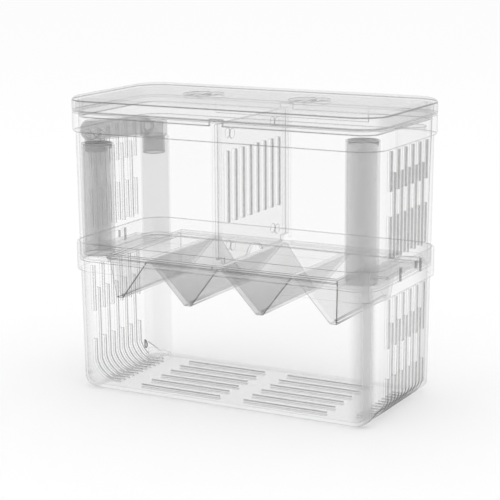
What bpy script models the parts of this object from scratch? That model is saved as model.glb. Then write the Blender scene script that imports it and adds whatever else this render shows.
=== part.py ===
"""Two-storey fish breeding box in clear plastic, in metres, +Z up.

A slatted upper box nests in the collar of a slatted lower box. A V-shaped tray hangs in the
upper box's floor, a slotted divider stands on the tray's middle ridge, four tubes stand in the
corners, a bridge pipe joins the two left tubes, and a lid with two grip holes closes the top.
The lower box's ends curve into its floor, and their slits run round that curve.
The origin is the middle of the base.
"""
import math

import bmesh
import bpy
from mathutils import Matrix, Vector

# Overall size
HEIGHT = 0.140
LENGTH = 0.161
DEPTH = 0.078
RUNNING_GAP = 0.0003
CUT_OVERRUN = 0.004
LEVEL_TOLERANCE = 0.000001
CORNER_SEGMENTS = 6
SMALL_EDGE_SEGMENTS = 2
ROUND_SEGMENTS = 36
QUARTER_TURN = math.radians(90.0)
PARALLEL_LIMIT = math.radians(5.0)
SHARP_ANGLE = math.radians(30.0)

# Lid
LID_HEIGHT = 0.0068
LID_PLATE = 0.0020
LID_SKIRT = 0.0018
LID_CORNER = 0.0136
LID_EDGE_RADIUS = 0.0026
LID_INNER_EDGE_RADIUS = 0.0013
LID_EDGE_SEGMENTS = 3
LIP_DEPTH = 0.0030
LIP_WALL = 0.0014
LIP_GAP = 0.0004
LIP_NOTCH_HALF_WIDTH = 0.0030
GRIP_HOLE_RADIUS = 0.0097
GRIP_HOLE_X = 0.0277
GRIP_HOLE_Y = 0.0030
GRIP_BAR_WIDTH = 0.0020

# Lower box's collar, which the upper box drops into
LOWER_HEIGHT = 0.0714
COLLAR_HEIGHT = 0.0137
COLLAR_INSET = 0.0006
COLLAR_CORNER = 0.0132
COLLAR_WALL = 0.0013
COLLAR_EDGE = 0.0006
NEST_DEPTH = 0.0090

# Lower box's walls and floor
LOWER_WALL = 0.0016
LOWER_FLOOR = 0.0017
COLLAR_STEP = 0.0016
LOWER_DRAFT_LENGTH = 0.0005
LOWER_DRAFT_DEPTH = 0.0010
LOWER_CORNER = 0.0118
LOWER_INNER_CORNER = 0.0092
LOWER_BASE_RADIUS = 0.0048
LOWER_END_CURVE = 0.0125
END_CURVE_EASE = 0.0003
END_CURVE_SEGMENTS = 6
BASE_SEGMENTS = 4

# Upper box
UPPER_WALL = 0.0017
UPPER_FLOOR = 0.0017
UPPER_DRAFT = 0.0006
UPPER_INNER_CORNER = 0.0092
UPPER_BASE_RADIUS = 0.0025
RIM_HEIGHT = 0.0096
RIM_PROUD = 0.0014
RIM_NOTCH_HALF_WIDTH = 0.0410
RIM_NOTCH_RISE = 0.0029
FLOOR_OPENING_GAP = 0.0005

# End wall slits, an outer row of short pairs between long single ones
SLIT_WIDTH = 0.0016
SLIT_SIDE_MARGIN = 0.0168
PAIR_COLUMNS = 6
LONG_COLUMNS = 5
SLIT_ROUND_SHARE = 0.9
UPPER_PAIR_TOP_SHARES = (0.691, 0.987)
UPPER_PAIR_LOW_SHARES = (0.203, 0.510)
UPPER_LONG_SHARES = (0.187, 0.825)
LOWER_PAIR_TOP_SHARES = (0.589, 0.981)
LOWER_PAIR_LOW_TOP_SHARE = 0.350
LOWER_LONG_TOP_SHARE = 0.780
WRAP_RUN = 0.0153

# Slots in the lower floor, in two groups
FLOOR_SLOT_WIDTH = 0.0020
FLOOR_SLOT_ROWS = 6
FLOOR_SLOT_SIDE_MARGIN = 0.0127
FLOOR_SLOT_INNER_X = 0.0062
FLOOR_SLOT_END_MARGIN = 0.0138

# Front tubes, which stand on the upper box's floor
TUBE_WALL = 0.0007
FRONT_TUBE_RADIUS = 0.0076
FRONT_LEFT_END_GAP = 0.0005
FRONT_LEFT_SIDE_GAP = 0.0007
FRONT_LEFT_DROP = 0.0151
FRONT_RIGHT_END_GAP = 0.0011
FRONT_RIGHT_SIDE_GAP = 0.0009
RIGHT_TUBE_DROP = 0.0053
SPIGOT_HEIGHT = 0.0030
SPIGOT_WALL = 0.0010

# Back tubes, of which the left one is the riser that reaches the lower floor
BACK_TUBE_RADIUS = 0.0072
BACK_TUBE_END_GAP = 0.0004
BACK_TUBE_SIDE_GAP = 0.0020
RISER_DROP = 0.0184
RISER_RING_HEIGHT = 0.0012
RISER_INLET_RADIUS = 0.0022
RISER_INLET_RISE = 0.0063
RISER_INLET_TURN = math.radians(45.0)
INLET_SEGMENTS = 20

# Bridge pipe, a straight run that slopes down from the front left tube to the riser
PIPE_WALL = 0.0008
PIPE_SHIFT = 0.0006
PIPE_RUN_RADIUS = 0.0050
PIPE_NEAR_RISE = 0.0061
PIPE_FAR_RISE = 0.0054
PIPE_END_GAP = 0.0013
PIPE_END_EDGE = 0.0018
PIPE_FAR_SHORT = 0.0050
PIPE_DOME_SHARE = 0.92
PIPE_DOME_SEGMENTS = 5
PIPE_SEGMENTS = 24
PIPE_LINK_RADIUS = 0.0024
NEAR_LEG_RADIUS = 0.0053
NEAR_LEG_REACH = 0.0040
FAR_LEG_RADIUS = 0.0056
FAR_LEG_REACH = 0.0083
FAR_HEAD_RADIUS = 0.0068
FAR_HEAD_HEIGHT = 0.0079
FAR_HEAD_EDGE = 0.0010

# V-shaped tray
TRAY_PLATE = 0.0017
TRAY_EDGE_GAP = 0.0004
TRAY_CORNER = 0.0020
TROUGH_TUBE_GAP = 0.0009
OUTER_TROUGH_WIDTH = 0.0219
OUTER_TROUGH_FOOT = 0.0036
RIDGE_WIDTH = 0.0012
TROUGH_DROP = 0.0198
TROUGH_FLAT = 0.0034
TROUGH_WALL = 0.0014
TROUGH_SIDE_MARGIN = 0.0019
TROUGH_DEPTH_DRAFT = 0.0032
DRAIN_WIDTH = 0.0016
DRAIN_END_MARGIN = 0.0035
TUBE_NOTCH_CORNER = 0.0030
TUBE_NOTCH_SEGMENTS = 3

# Divider and the rails that guide it
DIVIDER_THICKNESS = 0.0018
DIVIDER_DROP = 0.0013
DIVIDER_SHOULDER_WIDTH = 0.0053
DIVIDER_SHOULDER_RISE = 0.0028
DIVIDER_SLITS = 8
DIVIDER_SLIT_SIDE_MARGIN = 0.0098
DIVIDER_SLIT_WIDTH = 0.0022
DIVIDER_SLIT_SHARES = (0.282, 0.795)
DIVIDER_ARCH_RADIUS = 0.0076
DIVIDER_ARCH_RISE = 0.0040
DIVIDER_ARCH_Y = 0.0013
STUD_RADIUS = 0.0025
STUD_PROUD = 0.0005
STUD_SIDE_MARGIN = 0.0128
STUD_FOOT_MARGIN = 0.0075
STUD_TOP_MARGIN = 0.0058
STUD_SEGMENTS = 20
RAIL_WIDTH = 0.0012
RAIL_DEPTH = 0.0011
RAIL_RISE = 0.0016
RAIL_SINK = 0.0008

# Spring strap in each end of the collar: a slot on both sides of it and a window for the catch
STRAP_SLOT_Y = 0.0115
STRAP_SLOT_WIDTH = 0.0016
STRAP_SLOT_FOOT = 0.0006
STRAP_SLOT_HEAD = 0.0019
CATCH_WINDOW_HALF_WIDTH = 0.0070
CATCH_WINDOW_HEAD = 0.0023
CATCH_WINDOW_HEIGHT = 0.0037
CATCH_MARGIN = 0.0005
CATCH_PROUD = 0.0002

# Plan sizes that follow from the ones above, from the lid inward
COLLAR_HALF_LENGTH = LENGTH / 2 - COLLAR_INSET
COLLAR_HALF_DEPTH = DEPTH / 2 - COLLAR_INSET
LOWER_HALF_LENGTH = COLLAR_HALF_LENGTH - COLLAR_STEP
LOWER_HALF_DEPTH = COLLAR_HALF_DEPTH - COLLAR_STEP
UPPER_HALF_LENGTH_LOW = COLLAR_HALF_LENGTH - COLLAR_WALL - RUNNING_GAP
UPPER_HALF_DEPTH_LOW = COLLAR_HALF_DEPTH - COLLAR_WALL - RUNNING_GAP
UPPER_CORNER = COLLAR_CORNER - COLLAR_WALL - RUNNING_GAP
UPPER_INNER_HALF_LENGTH = UPPER_HALF_LENGTH_LOW - UPPER_WALL
UPPER_INNER_HALF_DEPTH = UPPER_HALF_DEPTH_LOW - UPPER_WALL
FLOOR_WRAP_X = LOWER_HALF_LENGTH - WRAP_RUN
SLIT_PITCH = 2 * (LOWER_HALF_DEPTH - SLIT_SIDE_MARGIN) / (PAIR_COLUMNS - 1)

# Levels that follow from the sizes above
LID_BOTTOM = HEIGHT - LID_HEIGHT
LIP_BOTTOM = LID_BOTTOM - LIP_DEPTH
UPPER_TOP = LID_BOTTOM - RUNNING_GAP
RIM_BOTTOM = UPPER_TOP - RIM_HEIGHT
COLLAR_BOTTOM = LOWER_HEIGHT - COLLAR_HEIGHT
NEST_LEDGE = LOWER_HEIGHT - NEST_DEPTH
UPPER_BOTTOM = NEST_LEDGE + RUNNING_GAP
UPPER_FLOOR_TOP = UPPER_BOTTOM + UPPER_FLOOR
TRAY_BOTTOM = UPPER_FLOOR_TOP + RUNNING_GAP
TRAY_TOP = TRAY_BOTTOM + TRAY_PLATE
TROUGH_BOTTOM = TRAY_BOTTOM - TROUGH_DROP
DIVIDER_BOTTOM = TRAY_TOP + RUNNING_GAP
DIVIDER_TOP = UPPER_TOP - DIVIDER_DROP
TUBE_FOOT = UPPER_FLOOR_TOP + RUNNING_GAP
FRONT_LEFT_TOP = UPPER_TOP - FRONT_LEFT_DROP
RIGHT_TUBE_TOP = UPPER_TOP - RIGHT_TUBE_DROP
RISER_TOP = UPPER_TOP - RISER_DROP
RISER_FOOT = LOWER_FLOOR + RUNNING_GAP
WINDOW_TOP = LOWER_HEIGHT - CATCH_WINDOW_HEAD
WINDOW_BOTTOM = WINDOW_TOP - CATCH_WINDOW_HEIGHT

# Places of the tubes and of the tray's troughs
FRONT_LEFT_X = UPPER_INNER_HALF_LENGTH - FRONT_LEFT_END_GAP - FRONT_TUBE_RADIUS
FRONT_LEFT_Y = UPPER_INNER_HALF_DEPTH - FRONT_LEFT_SIDE_GAP - FRONT_TUBE_RADIUS
FRONT_RIGHT_X = UPPER_INNER_HALF_LENGTH - FRONT_RIGHT_END_GAP - FRONT_TUBE_RADIUS
FRONT_RIGHT_Y = UPPER_INNER_HALF_DEPTH - FRONT_RIGHT_SIDE_GAP - FRONT_TUBE_RADIUS
BACK_TUBE_X = (LOWER_HALF_LENGTH - LOWER_WALL - LOWER_DRAFT_LENGTH
               - BACK_TUBE_END_GAP - BACK_TUBE_RADIUS)
BACK_TUBE_Y = (LOWER_HALF_DEPTH - LOWER_WALL - LOWER_DRAFT_DEPTH
               - BACK_TUBE_SIDE_GAP - BACK_TUBE_RADIUS)
TROUGH_END_X = FRONT_RIGHT_X - FRONT_TUBE_RADIUS - TROUGH_TUBE_GAP
RIDGE_X = TROUGH_END_X - OUTER_TROUGH_WIDTH
TROUGH_HALF_DEPTH = UPPER_INNER_HALF_DEPTH - TROUGH_SIDE_MARGIN
TROUGH_HALF_DEPTH_LOW = TROUGH_HALF_DEPTH - TROUGH_DEPTH_DRAFT
TUBE_NOTCH_X = TROUGH_END_X + FLOOR_OPENING_GAP
TUBE_NOTCH_Y = BACK_TUBE_Y - BACK_TUBE_RADIUS - RUNNING_GAP
DIVIDER_HALF_DEPTH = UPPER_INNER_HALF_DEPTH - RUNNING_GAP
RAIL_REACH_Y = UPPER_INNER_HALF_DEPTH - RAIL_DEPTH
SIDES = (-1, 1)


def start_scene():
    for obj in list(bpy.data.objects):
        bpy.data.objects.remove(obj)
    part = bpy.data.collections.new("fish_breeding_box")
    cutters = bpy.data.collections.new("cutters")
    for collection in (part, cutters):
        bpy.context.scene.collection.children.link(collection)
    return part, cutters


def plastic(name, colour=(0.90, 0.92, 0.93), roughness=0.08):
    material = bpy.data.materials.new(name)
    material.use_nodes = True
    shader = material.node_tree.nodes["Principled BSDF"]
    shader.inputs["Base Color"].default_value = (*colour, 1.0)
    shader.inputs["Roughness"].default_value = roughness
    shader.inputs["Metallic"].default_value = 0.0
    shader.inputs["Transmission Weight"].default_value = 0.8
    return material


def grey_plastic(name):
    return plastic(name, (0.62, 0.64, 0.66), 0.15)


PART, CUTTERS = start_scene()


def add_object(name, mesh_source, material=None):
    """Makes an object from a bmesh. With no material it is a cutter, hidden from the build."""
    mesh = bpy.data.meshes.new(name)
    bmesh.ops.recalc_face_normals(mesh_source, faces=mesh_source.faces)
    mesh_source.to_mesh(mesh)
    mesh_source.free()
    obj = bpy.data.objects.new(name, mesh)
    if material is None:
        CUTTERS.objects.link(obj)
        obj.hide_render = True
        obj.display_type = "WIRE"
    else:
        PART.objects.link(obj)
        mesh.materials.append(material)
        mesh.set_sharp_from_angle(angle=SHARP_ANGLE)
    return obj


def combine(target, tool, operation):
    modifier = target.modifiers.new(tool.name, "BOOLEAN")
    modifier.operation = operation
    modifier.object = tool


def cut(target, tool):
    combine(target, tool, "DIFFERENCE")


def join(target, tool):
    combine(target, tool, "UNION")


def edges_along(mesh_source, axis, keep=lambda middle: True):
    """Straight edges parallel to an axis (0, 1 or 2) whose middle passes the test."""
    found = []
    for edge in mesh_source.edges:
        run = edge.verts[1].co - edge.verts[0].co
        middle = (edge.verts[1].co + edge.verts[0].co) / 2
        if abs(run[axis]) > run.length * math.cos(PARALLEL_LIMIT) and keep(middle):
            found.append(edge)
    return found


def round_edges(mesh_source, edges, radius, segments):
    bmesh.ops.bevel(mesh_source, geom=edges, offset=radius, segments=segments,
                    profile=0.5, affect="EDGES", material=-1)


def edges_at_level(mesh_source, level):
    return [edge for edge in mesh_source.edges
            if all(math.isclose(vert.co.z, level, abs_tol=LEVEL_TOLERANCE) for vert in edge.verts)]


def add_box(mesh_source, low, high):
    """Adds a box between two corners and returns its vertices."""
    low, high = Vector(low), Vector(high)
    size = high - low
    place = Matrix.Translation((low + high) / 2) @ Matrix.Diagonal((*size, 1.0))
    return bmesh.ops.create_cube(mesh_source, size=1.0, matrix=place)["verts"]


def rounded_block(half_length, half_depth, bottom, top, corner, draft=(0.0, 0.0),
                  base_radius=0.0, top_radius=0.0, edge_segments=BASE_SEGMENTS):
    """Block with upright rounded corners. Draft is how much each half size shrinks at the base."""
    block = bmesh.new()
    add_box(block, (-half_length, -half_depth, bottom), (half_length, half_depth, top))
    round_edges(block, edges_along(block, 2), corner, CORNER_SEGMENTS)
    for vert in block.verts:
        if vert.co.z < (bottom + top) / 2:
            vert.co.x *= (half_length - draft[0]) / half_length
            vert.co.y *= (half_depth - draft[1]) / half_depth
    for level, radius in ((bottom, base_radius), (top, top_radius)):
        if radius > 0.0:
            round_edges(block, edges_at_level(block, level), radius, edge_segments)
    return block


def cylinder(radius, bottom, top, centre, segments=ROUND_SEGMENTS):
    """Upright cylinder between two levels."""
    solid = bmesh.new()
    place = Matrix.Translation((centre[0], centre[1], (bottom + top) / 2))
    bmesh.ops.create_cone(solid, cap_ends=True, segments=segments, radius1=radius, radius2=radius,
                          depth=top - bottom, matrix=place)
    return solid


def rod_along_x(mesh_source, radius, half_length, place, segments):
    """Adds a cylinder that lies along X, centred on a place."""
    lie = Matrix.Translation(place) @ Matrix.Rotation(QUARTER_TURN, 4, "Y")
    bmesh.ops.create_cone(mesh_source, cap_ends=True, segments=segments, radius1=radius,
                          radius2=radius, depth=2 * half_length, matrix=lie)


def box_object(name, low, high, material=None):
    source = bmesh.new()
    add_box(source, low, high)
    return add_object(name, source, material)


def columns(count, pitch):
    return [(index - (count - 1) / 2) * pitch for index in range(count)]


def between(bottom, top, share):
    return bottom + (top - bottom) * share


def spans_at(places, bottom, top, shares):
    """A list of (y, bottom, top), with the levels as shares of a wall's height."""
    return [(y, between(bottom, top, shares[0]), between(bottom, top, shares[1]))
            for y in places]


def through_slits(name, spans, width, reach):
    """Slits cut along X right through: a list of (y, bottom, top)."""
    source = bmesh.new()
    for y, bottom, top in spans:
        add_box(source, (-reach, y - width / 2, bottom), (reach, y + width / 2, top))
    round_edges(source, edges_along(source, 0), width / 2 * SLIT_ROUND_SHARE,
                SMALL_EDGE_SEGMENTS)
    return add_object(name, source)


def wrapping_slits(name, spans, width, reach, inner_x):
    """Slits that run down each end wall and round onto the floor: a list of (y, top)."""
    source = bmesh.new()
    for side in SIDES:
        for y, top in spans:
            near, far = sorted((side * inner_x, side * reach))
            add_box(source, (near, y - width / 2, -CUT_OVERRUN), (far, y + width / 2, top))
    upper = edges_along(source, 0, lambda middle: middle.z > 0.0)
    inner = edges_along(source, 2, lambda middle: abs(middle.x) < (inner_x + reach) / 2)
    round_edges(source, upper + inner, width / 2 * SLIT_ROUND_SHARE, SMALL_EDGE_SEGMENTS)
    return add_object(name, source)


def floor_slots():
    source = bmesh.new()
    outer_y = LOWER_HALF_DEPTH - LOWER_WALL - FLOOR_SLOT_SIDE_MARGIN
    pitch = 2 * outer_y / (FLOOR_SLOT_ROWS - 1)
    for side in SIDES:
        near, far = sorted((side * FLOOR_SLOT_INNER_X,
                            side * (FLOOR_WRAP_X - FLOOR_SLOT_END_MARGIN)))
        for y in columns(FLOOR_SLOT_ROWS, pitch):
            add_box(source, (near, y - FLOOR_SLOT_WIDTH / 2, -CUT_OVERRUN),
                    (far, y + FLOOR_SLOT_WIDTH / 2, LOWER_FLOOR + CUT_OVERRUN))
    round_edges(source, edges_along(source, 2), FLOOR_SLOT_WIDTH / 2 * SLIT_ROUND_SHARE,
                SMALL_EDGE_SEGMENTS)
    return add_object("floor_slots_cut", source)


def collar_openings():
    """The strap's two slots and its window, through both ends of the collar."""
    source = bmesh.new()
    reach = LENGTH / 2 + CUT_OVERRUN
    for side in SIDES:
        near, far = sorted((side * (COLLAR_HALF_LENGTH - COLLAR_WALL - CUT_OVERRUN), side * reach))
        add_box(source, (near, -CATCH_WINDOW_HALF_WIDTH, WINDOW_BOTTOM),
                (far, CATCH_WINDOW_HALF_WIDTH, WINDOW_TOP))
        for y in (-STRAP_SLOT_Y, STRAP_SLOT_Y):
            add_box(source, (near, y - STRAP_SLOT_WIDTH / 2, NEST_LEDGE + STRAP_SLOT_FOOT),
                    (far, y + STRAP_SLOT_WIDTH / 2, LOWER_HEIGHT - STRAP_SLOT_HEAD))
    return add_object("collar_openings_cut", source)


def curve_ends(block, half_length, half_depth, bottom, top, radius):
    """Trims a block so that its ends curve into its base."""
    source = bmesh.new()
    low = (-half_length - END_CURVE_EASE, -half_depth - CUT_OVERRUN, bottom - END_CURVE_EASE)
    high = (half_length + END_CURVE_EASE, half_depth + CUT_OVERRUN, top + CUT_OVERRUN)
    add_box(source, low, high)
    for vert in source.verts:
        if vert.co.z < (bottom + top) / 2:
            vert.co.x -= math.copysign(LOWER_DRAFT_LENGTH, vert.co.x)
    base_ends = edges_along(source, 1, lambda middle: middle.z < (bottom + top) / 2)
    round_edges(source, base_ends, radius, END_CURVE_SEGMENTS)
    combine(block, add_object(block.name + "_end_curve", source), "INTERSECT")


def lower_inside(name, gap, top):
    """The space inside the lower box, kept clear of its walls and floor by a gap."""
    half_length = LOWER_HALF_LENGTH - LOWER_WALL - gap
    half_depth = LOWER_HALF_DEPTH - LOWER_WALL - gap
    bottom = LOWER_FLOOR + gap
    inside = add_object(name, rounded_block(
        half_length, half_depth, bottom, top, LOWER_INNER_CORNER - gap,
        (LOWER_DRAFT_LENGTH, LOWER_DRAFT_DEPTH), LOWER_BASE_RADIUS - bottom))
    curve_ends(inside, half_length, half_depth, bottom, top,
               LOWER_END_CURVE - LOWER_WALL - gap)
    return inside


def ring_on_floor(box, name, tube_radius, floor_bottom, floor_top, height, centre):
    """A low ring that a tube stands over, joined to a floor."""
    outer = tube_radius - TUBE_WALL - RUNNING_GAP
    join(box, add_object(name + "_join", cylinder(
        outer, (floor_bottom + floor_top) / 2, floor_top + height, centre)))
    return outer - SPIGOT_WALL


def build_lower_box():
    box = add_object("lower_box", rounded_block(
        LOWER_HALF_LENGTH, LOWER_HALF_DEPTH, 0.0, NEST_LEDGE, LOWER_CORNER,
        (LOWER_DRAFT_LENGTH, LOWER_DRAFT_DEPTH), LOWER_BASE_RADIUS), plastic("lower_box_plastic"))
    curve_ends(box, LOWER_HALF_LENGTH, LOWER_HALF_DEPTH, 0.0, NEST_LEDGE, LOWER_END_CURVE)
    join(box, add_object("collar_join", rounded_block(
        COLLAR_HALF_LENGTH, COLLAR_HALF_DEPTH, COLLAR_BOTTOM, LOWER_HEIGHT, COLLAR_CORNER,
        base_radius=COLLAR_EDGE, top_radius=COLLAR_EDGE, edge_segments=SMALL_EDGE_SEGMENTS)))
    cut(box, add_object("nest_cut", rounded_block(
        COLLAR_HALF_LENGTH - COLLAR_WALL, COLLAR_HALF_DEPTH - COLLAR_WALL,
        NEST_LEDGE, LOWER_HEIGHT + CUT_OVERRUN, COLLAR_CORNER - COLLAR_WALL)))
    cut(box, lower_inside("lower_cavity_cut", 0.0, NEST_LEDGE + CUT_OVERRUN))
    riser_place = (-BACK_TUBE_X, BACK_TUBE_Y)
    ring_bore = ring_on_floor(box, "riser_ring", BACK_TUBE_RADIUS, 0.0, LOWER_FLOOR,
                              RISER_RING_HEIGHT, riser_place)
    cut(box, add_object("riser_ring_bore_cut", cylinder(
        ring_bore, LOWER_FLOOR, LOWER_FLOOR + RISER_RING_HEIGHT + CUT_OVERRUN, riser_place)))
    cut(box, floor_slots())
    cut(box, collar_openings())
    reach = LENGTH / 2 + CUT_OVERRUN
    pairs = columns(PAIR_COLUMNS, SLIT_PITCH)
    longs = columns(LONG_COLUMNS, SLIT_PITCH)
    upper_pairs = spans_at(pairs, 0.0, COLLAR_BOTTOM, LOWER_PAIR_TOP_SHARES)
    cut(box, through_slits("lower_pair_cut", upper_pairs, SLIT_WIDTH, reach))
    pair_top = COLLAR_BOTTOM * LOWER_PAIR_LOW_TOP_SHARE
    long_top = COLLAR_BOTTOM * LOWER_LONG_TOP_SHARE
    wrapping = [(y, pair_top) for y in pairs] + [(y, long_top) for y in longs]
    cut(box, wrapping_slits("lower_wrap_cut", wrapping, SLIT_WIDTH, reach, FLOOR_WRAP_X))


def divider_rails():
    """Two ribs on each long wall, with the divider's edge between them."""
    source = bmesh.new()
    inner = DIVIDER_THICKNESS / 2 + RUNNING_GAP
    for side_x in SIDES:
        for side_y in SIDES:
            xs = sorted((side_x * inner, side_x * (inner + RAIL_WIDTH)))
            ys = sorted((side_y * RAIL_REACH_Y,
                         side_y * (UPPER_INNER_HALF_DEPTH + RAIL_SINK)))
            add_box(source, (xs[0], ys[0], TRAY_TOP + RAIL_RISE), (xs[1], ys[1], DIVIDER_TOP))
    return add_object("divider_rails_join", source)


def catches():
    """Low bump on each end that shows in the collar's window."""
    source = bmesh.new()
    for side in SIDES:
        near, far = sorted((side * (UPPER_INNER_HALF_LENGTH + UPPER_WALL / 2),
                            side * (UPPER_HALF_LENGTH_LOW + CATCH_PROUD)))
        add_box(source, (near, CATCH_MARGIN - CATCH_WINDOW_HALF_WIDTH,
                         WINDOW_BOTTOM + CATCH_MARGIN),
                (far, CATCH_WINDOW_HALF_WIDTH - CATCH_MARGIN, WINDOW_TOP - CATCH_MARGIN))
    return add_object("catches_join", source)


def standing_tubes():
    """Name, radius, place and top of each tube that stands on the upper floor."""
    return (("front_left_tube", FRONT_TUBE_RADIUS, (-FRONT_LEFT_X, -FRONT_LEFT_Y), FRONT_LEFT_TOP),
            ("front_right_tube", FRONT_TUBE_RADIUS, (FRONT_RIGHT_X, -FRONT_RIGHT_Y),
             RIGHT_TUBE_TOP),
            ("back_right_tube", BACK_TUBE_RADIUS, (BACK_TUBE_X, BACK_TUBE_Y), RIGHT_TUBE_TOP))


def build_upper_box():
    half_length = UPPER_HALF_LENGTH_LOW + UPPER_DRAFT
    half_depth = UPPER_HALF_DEPTH_LOW + UPPER_DRAFT
    draft = (UPPER_DRAFT, UPPER_DRAFT)
    box = add_object("upper_box", rounded_block(
        half_length, half_depth, UPPER_BOTTOM, UPPER_TOP, UPPER_CORNER, draft,
        UPPER_BASE_RADIUS), plastic("upper_box_plastic"))
    rim = add_object("rim_join", rounded_block(
        half_length + RIM_PROUD, half_depth + RIM_PROUD, RIM_BOTTOM, UPPER_TOP,
        UPPER_CORNER + RIM_PROUD, base_radius=RIM_PROUD, edge_segments=1))
    notch = box_object("rim_notch_cut",
                       (-RIM_NOTCH_HALF_WIDTH, half_depth, RIM_BOTTOM + RIM_NOTCH_RISE),
                       (RIM_NOTCH_HALF_WIDTH, DEPTH, UPPER_TOP + CUT_OVERRUN))
    cut(rim, notch)
    join(box, rim)
    cavity = add_object("upper_cavity_cut", rounded_block(
        half_length - UPPER_WALL, half_depth - UPPER_WALL, UPPER_FLOOR_TOP,
        UPPER_TOP + CUT_OVERRUN, UPPER_INNER_CORNER, draft))
    cut(box, cavity)
    join(box, divider_rails())
    join(box, catches())
    opening_x = TROUGH_END_X + FLOOR_OPENING_GAP
    opening_y = TROUGH_HALF_DEPTH + FLOOR_OPENING_GAP
    cut(box, box_object("floor_opening_cut",
                        (-opening_x, -opening_y, UPPER_BOTTOM - CUT_OVERRUN),
                        (opening_x, opening_y, UPPER_FLOOR_TOP + CUT_OVERRUN)))
    for name, radius, place, top in standing_tubes():
        bore = ring_on_floor(box, name + "_spigot", radius, UPPER_BOTTOM, UPPER_FLOOR_TOP,
                             SPIGOT_HEIGHT, place)
        cut(box, add_object(name + "_spigot_bore_cut", cylinder(
            bore, UPPER_BOTTOM - CUT_OVERRUN, UPPER_FLOOR_TOP + SPIGOT_HEIGHT + CUT_OVERRUN,
            place)))
    cut(box, add_object("riser_hole_cut", cylinder(
        BACK_TUBE_RADIUS + RUNNING_GAP, UPPER_BOTTOM - CUT_OVERRUN,
        UPPER_FLOOR_TOP + CUT_OVERRUN, (-BACK_TUBE_X, BACK_TUBE_Y))))
    pairs = columns(PAIR_COLUMNS, SLIT_PITCH)
    spans = spans_at(pairs, UPPER_BOTTOM, RIM_BOTTOM, UPPER_PAIR_TOP_SHARES)
    spans += spans_at(pairs, UPPER_BOTTOM, RIM_BOTTOM, UPPER_PAIR_LOW_SHARES)
    spans += spans_at(columns(LONG_COLUMNS, SLIT_PITCH), UPPER_BOTTOM, RIM_BOTTOM,
                      UPPER_LONG_SHARES)
    cut(box, through_slits("upper_slits_cut", spans, SLIT_WIDTH, LENGTH / 2 + CUT_OVERRUN))


def build_lid():
    half_length, half_depth = LENGTH / 2, DEPTH / 2
    plate_bottom = HEIGHT - LID_PLATE
    lid = add_object("lid", rounded_block(
        half_length, half_depth, LID_BOTTOM, HEIGHT, LID_CORNER, top_radius=LID_EDGE_RADIUS,
        edge_segments=LID_EDGE_SEGMENTS), plastic("lid_plastic"))
    hollow = add_object("lid_hollow_cut", rounded_block(
        half_length - LID_SKIRT, half_depth - LID_SKIRT, LID_BOTTOM - CUT_OVERRUN, plate_bottom,
        LID_CORNER - LID_SKIRT, top_radius=LID_INNER_EDGE_RADIUS,
        edge_segments=SMALL_EDGE_SEGMENTS))
    cut(lid, hollow)
    lip_half_length = UPPER_INNER_HALF_LENGTH + UPPER_DRAFT - LIP_GAP
    lip_half_depth = UPPER_INNER_HALF_DEPTH + UPPER_DRAFT - LIP_GAP
    lip_corner = UPPER_INNER_CORNER - LIP_GAP
    lip = add_object("lip_join", rounded_block(
        lip_half_length, lip_half_depth, LIP_BOTTOM, plate_bottom + LID_PLATE / 2, lip_corner))
    cut(lip, add_object("lip_hollow_cut", rounded_block(
        lip_half_length - LIP_WALL, lip_half_depth - LIP_WALL, LIP_BOTTOM - CUT_OVERRUN,
        HEIGHT, lip_corner - LIP_WALL)))
    cut(lip, box_object("lip_notch_cut",
                        (-LIP_NOTCH_HALF_WIDTH, -half_depth, LIP_BOTTOM - CUT_OVERRUN),
                        (LIP_NOTCH_HALF_WIDTH, half_depth, LID_BOTTOM)))
    join(lid, lip)
    for side in SIDES:
        for half in SIDES:
            cut(lid, grip_half_hole(side, half, plate_bottom))


def grip_half_hole(side, half, plate_bottom):
    """Half of a round hole, with half of the bar's width left beside its straight edge."""
    centre_x = side * GRIP_HOLE_X
    source = cylinder(GRIP_HOLE_RADIUS, plate_bottom - CUT_OVERRUN, HEIGHT + CUT_OVERRUN,
                      (centre_x, GRIP_HOLE_Y))
    plane_point = (centre_x + half * GRIP_BAR_WIDTH / 2, GRIP_HOLE_Y, HEIGHT)
    sliced = bmesh.ops.bisect_plane(
        source, geom=source.verts[:] + source.edges[:] + source.faces[:],
        plane_co=plane_point, plane_no=(-half, 0.0, 0.0), clear_outer=True)
    rim = [item for item in sliced["geom_cut"] if isinstance(item, bmesh.types.BMEdge)]
    bmesh.ops.contextual_create(source, geom=rim)
    return add_object(f"grip_cut_{side}_{half}", source)


def trough_profile(centre, left_top, right_top, level_top, half_flat, level_flat):
    """Four corners of a trough's section, in X and Z."""
    return ((left_top, level_top), (centre - half_flat, level_flat),
            (centre + half_flat, level_flat), (right_top, level_top))


def trough_prism(name, profile, half_depth_top, half_depth_low, level_low):
    """Extrudes a section along Y and draws its lower edge in by the draft."""
    source = bmesh.new()
    section = [source.verts.new((x, -half_depth_top, z)) for x, z in profile]
    face = source.faces.new(section)
    run = bmesh.ops.extrude_face_region(source, geom=[face])
    moved = [item for item in run["geom"] if isinstance(item, bmesh.types.BMVert)]
    bmesh.ops.translate(source, verts=moved, vec=(0.0, 2 * half_depth_top, 0.0))
    level_top = max(z for x, z in profile)
    for vert in source.verts:
        share = (level_top - vert.co.z) / (level_top - level_low)
        half_depth = half_depth_top + (half_depth_low - half_depth_top) * share
        vert.co.y = math.copysign(half_depth, vert.co.y)
    return add_object(name, source)


def trough_layout():
    """Centre, left top and right top of each trough's outer section."""
    inner = RIDGE_X / 2
    outer = TROUGH_END_X - OUTER_TROUGH_FOOT
    return ((-outer, -TROUGH_END_X, -RIDGE_X), (-inner, -RIDGE_X, 0.0),
            (inner, 0.0, RIDGE_X), (outer, RIDGE_X, TROUGH_END_X))


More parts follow.
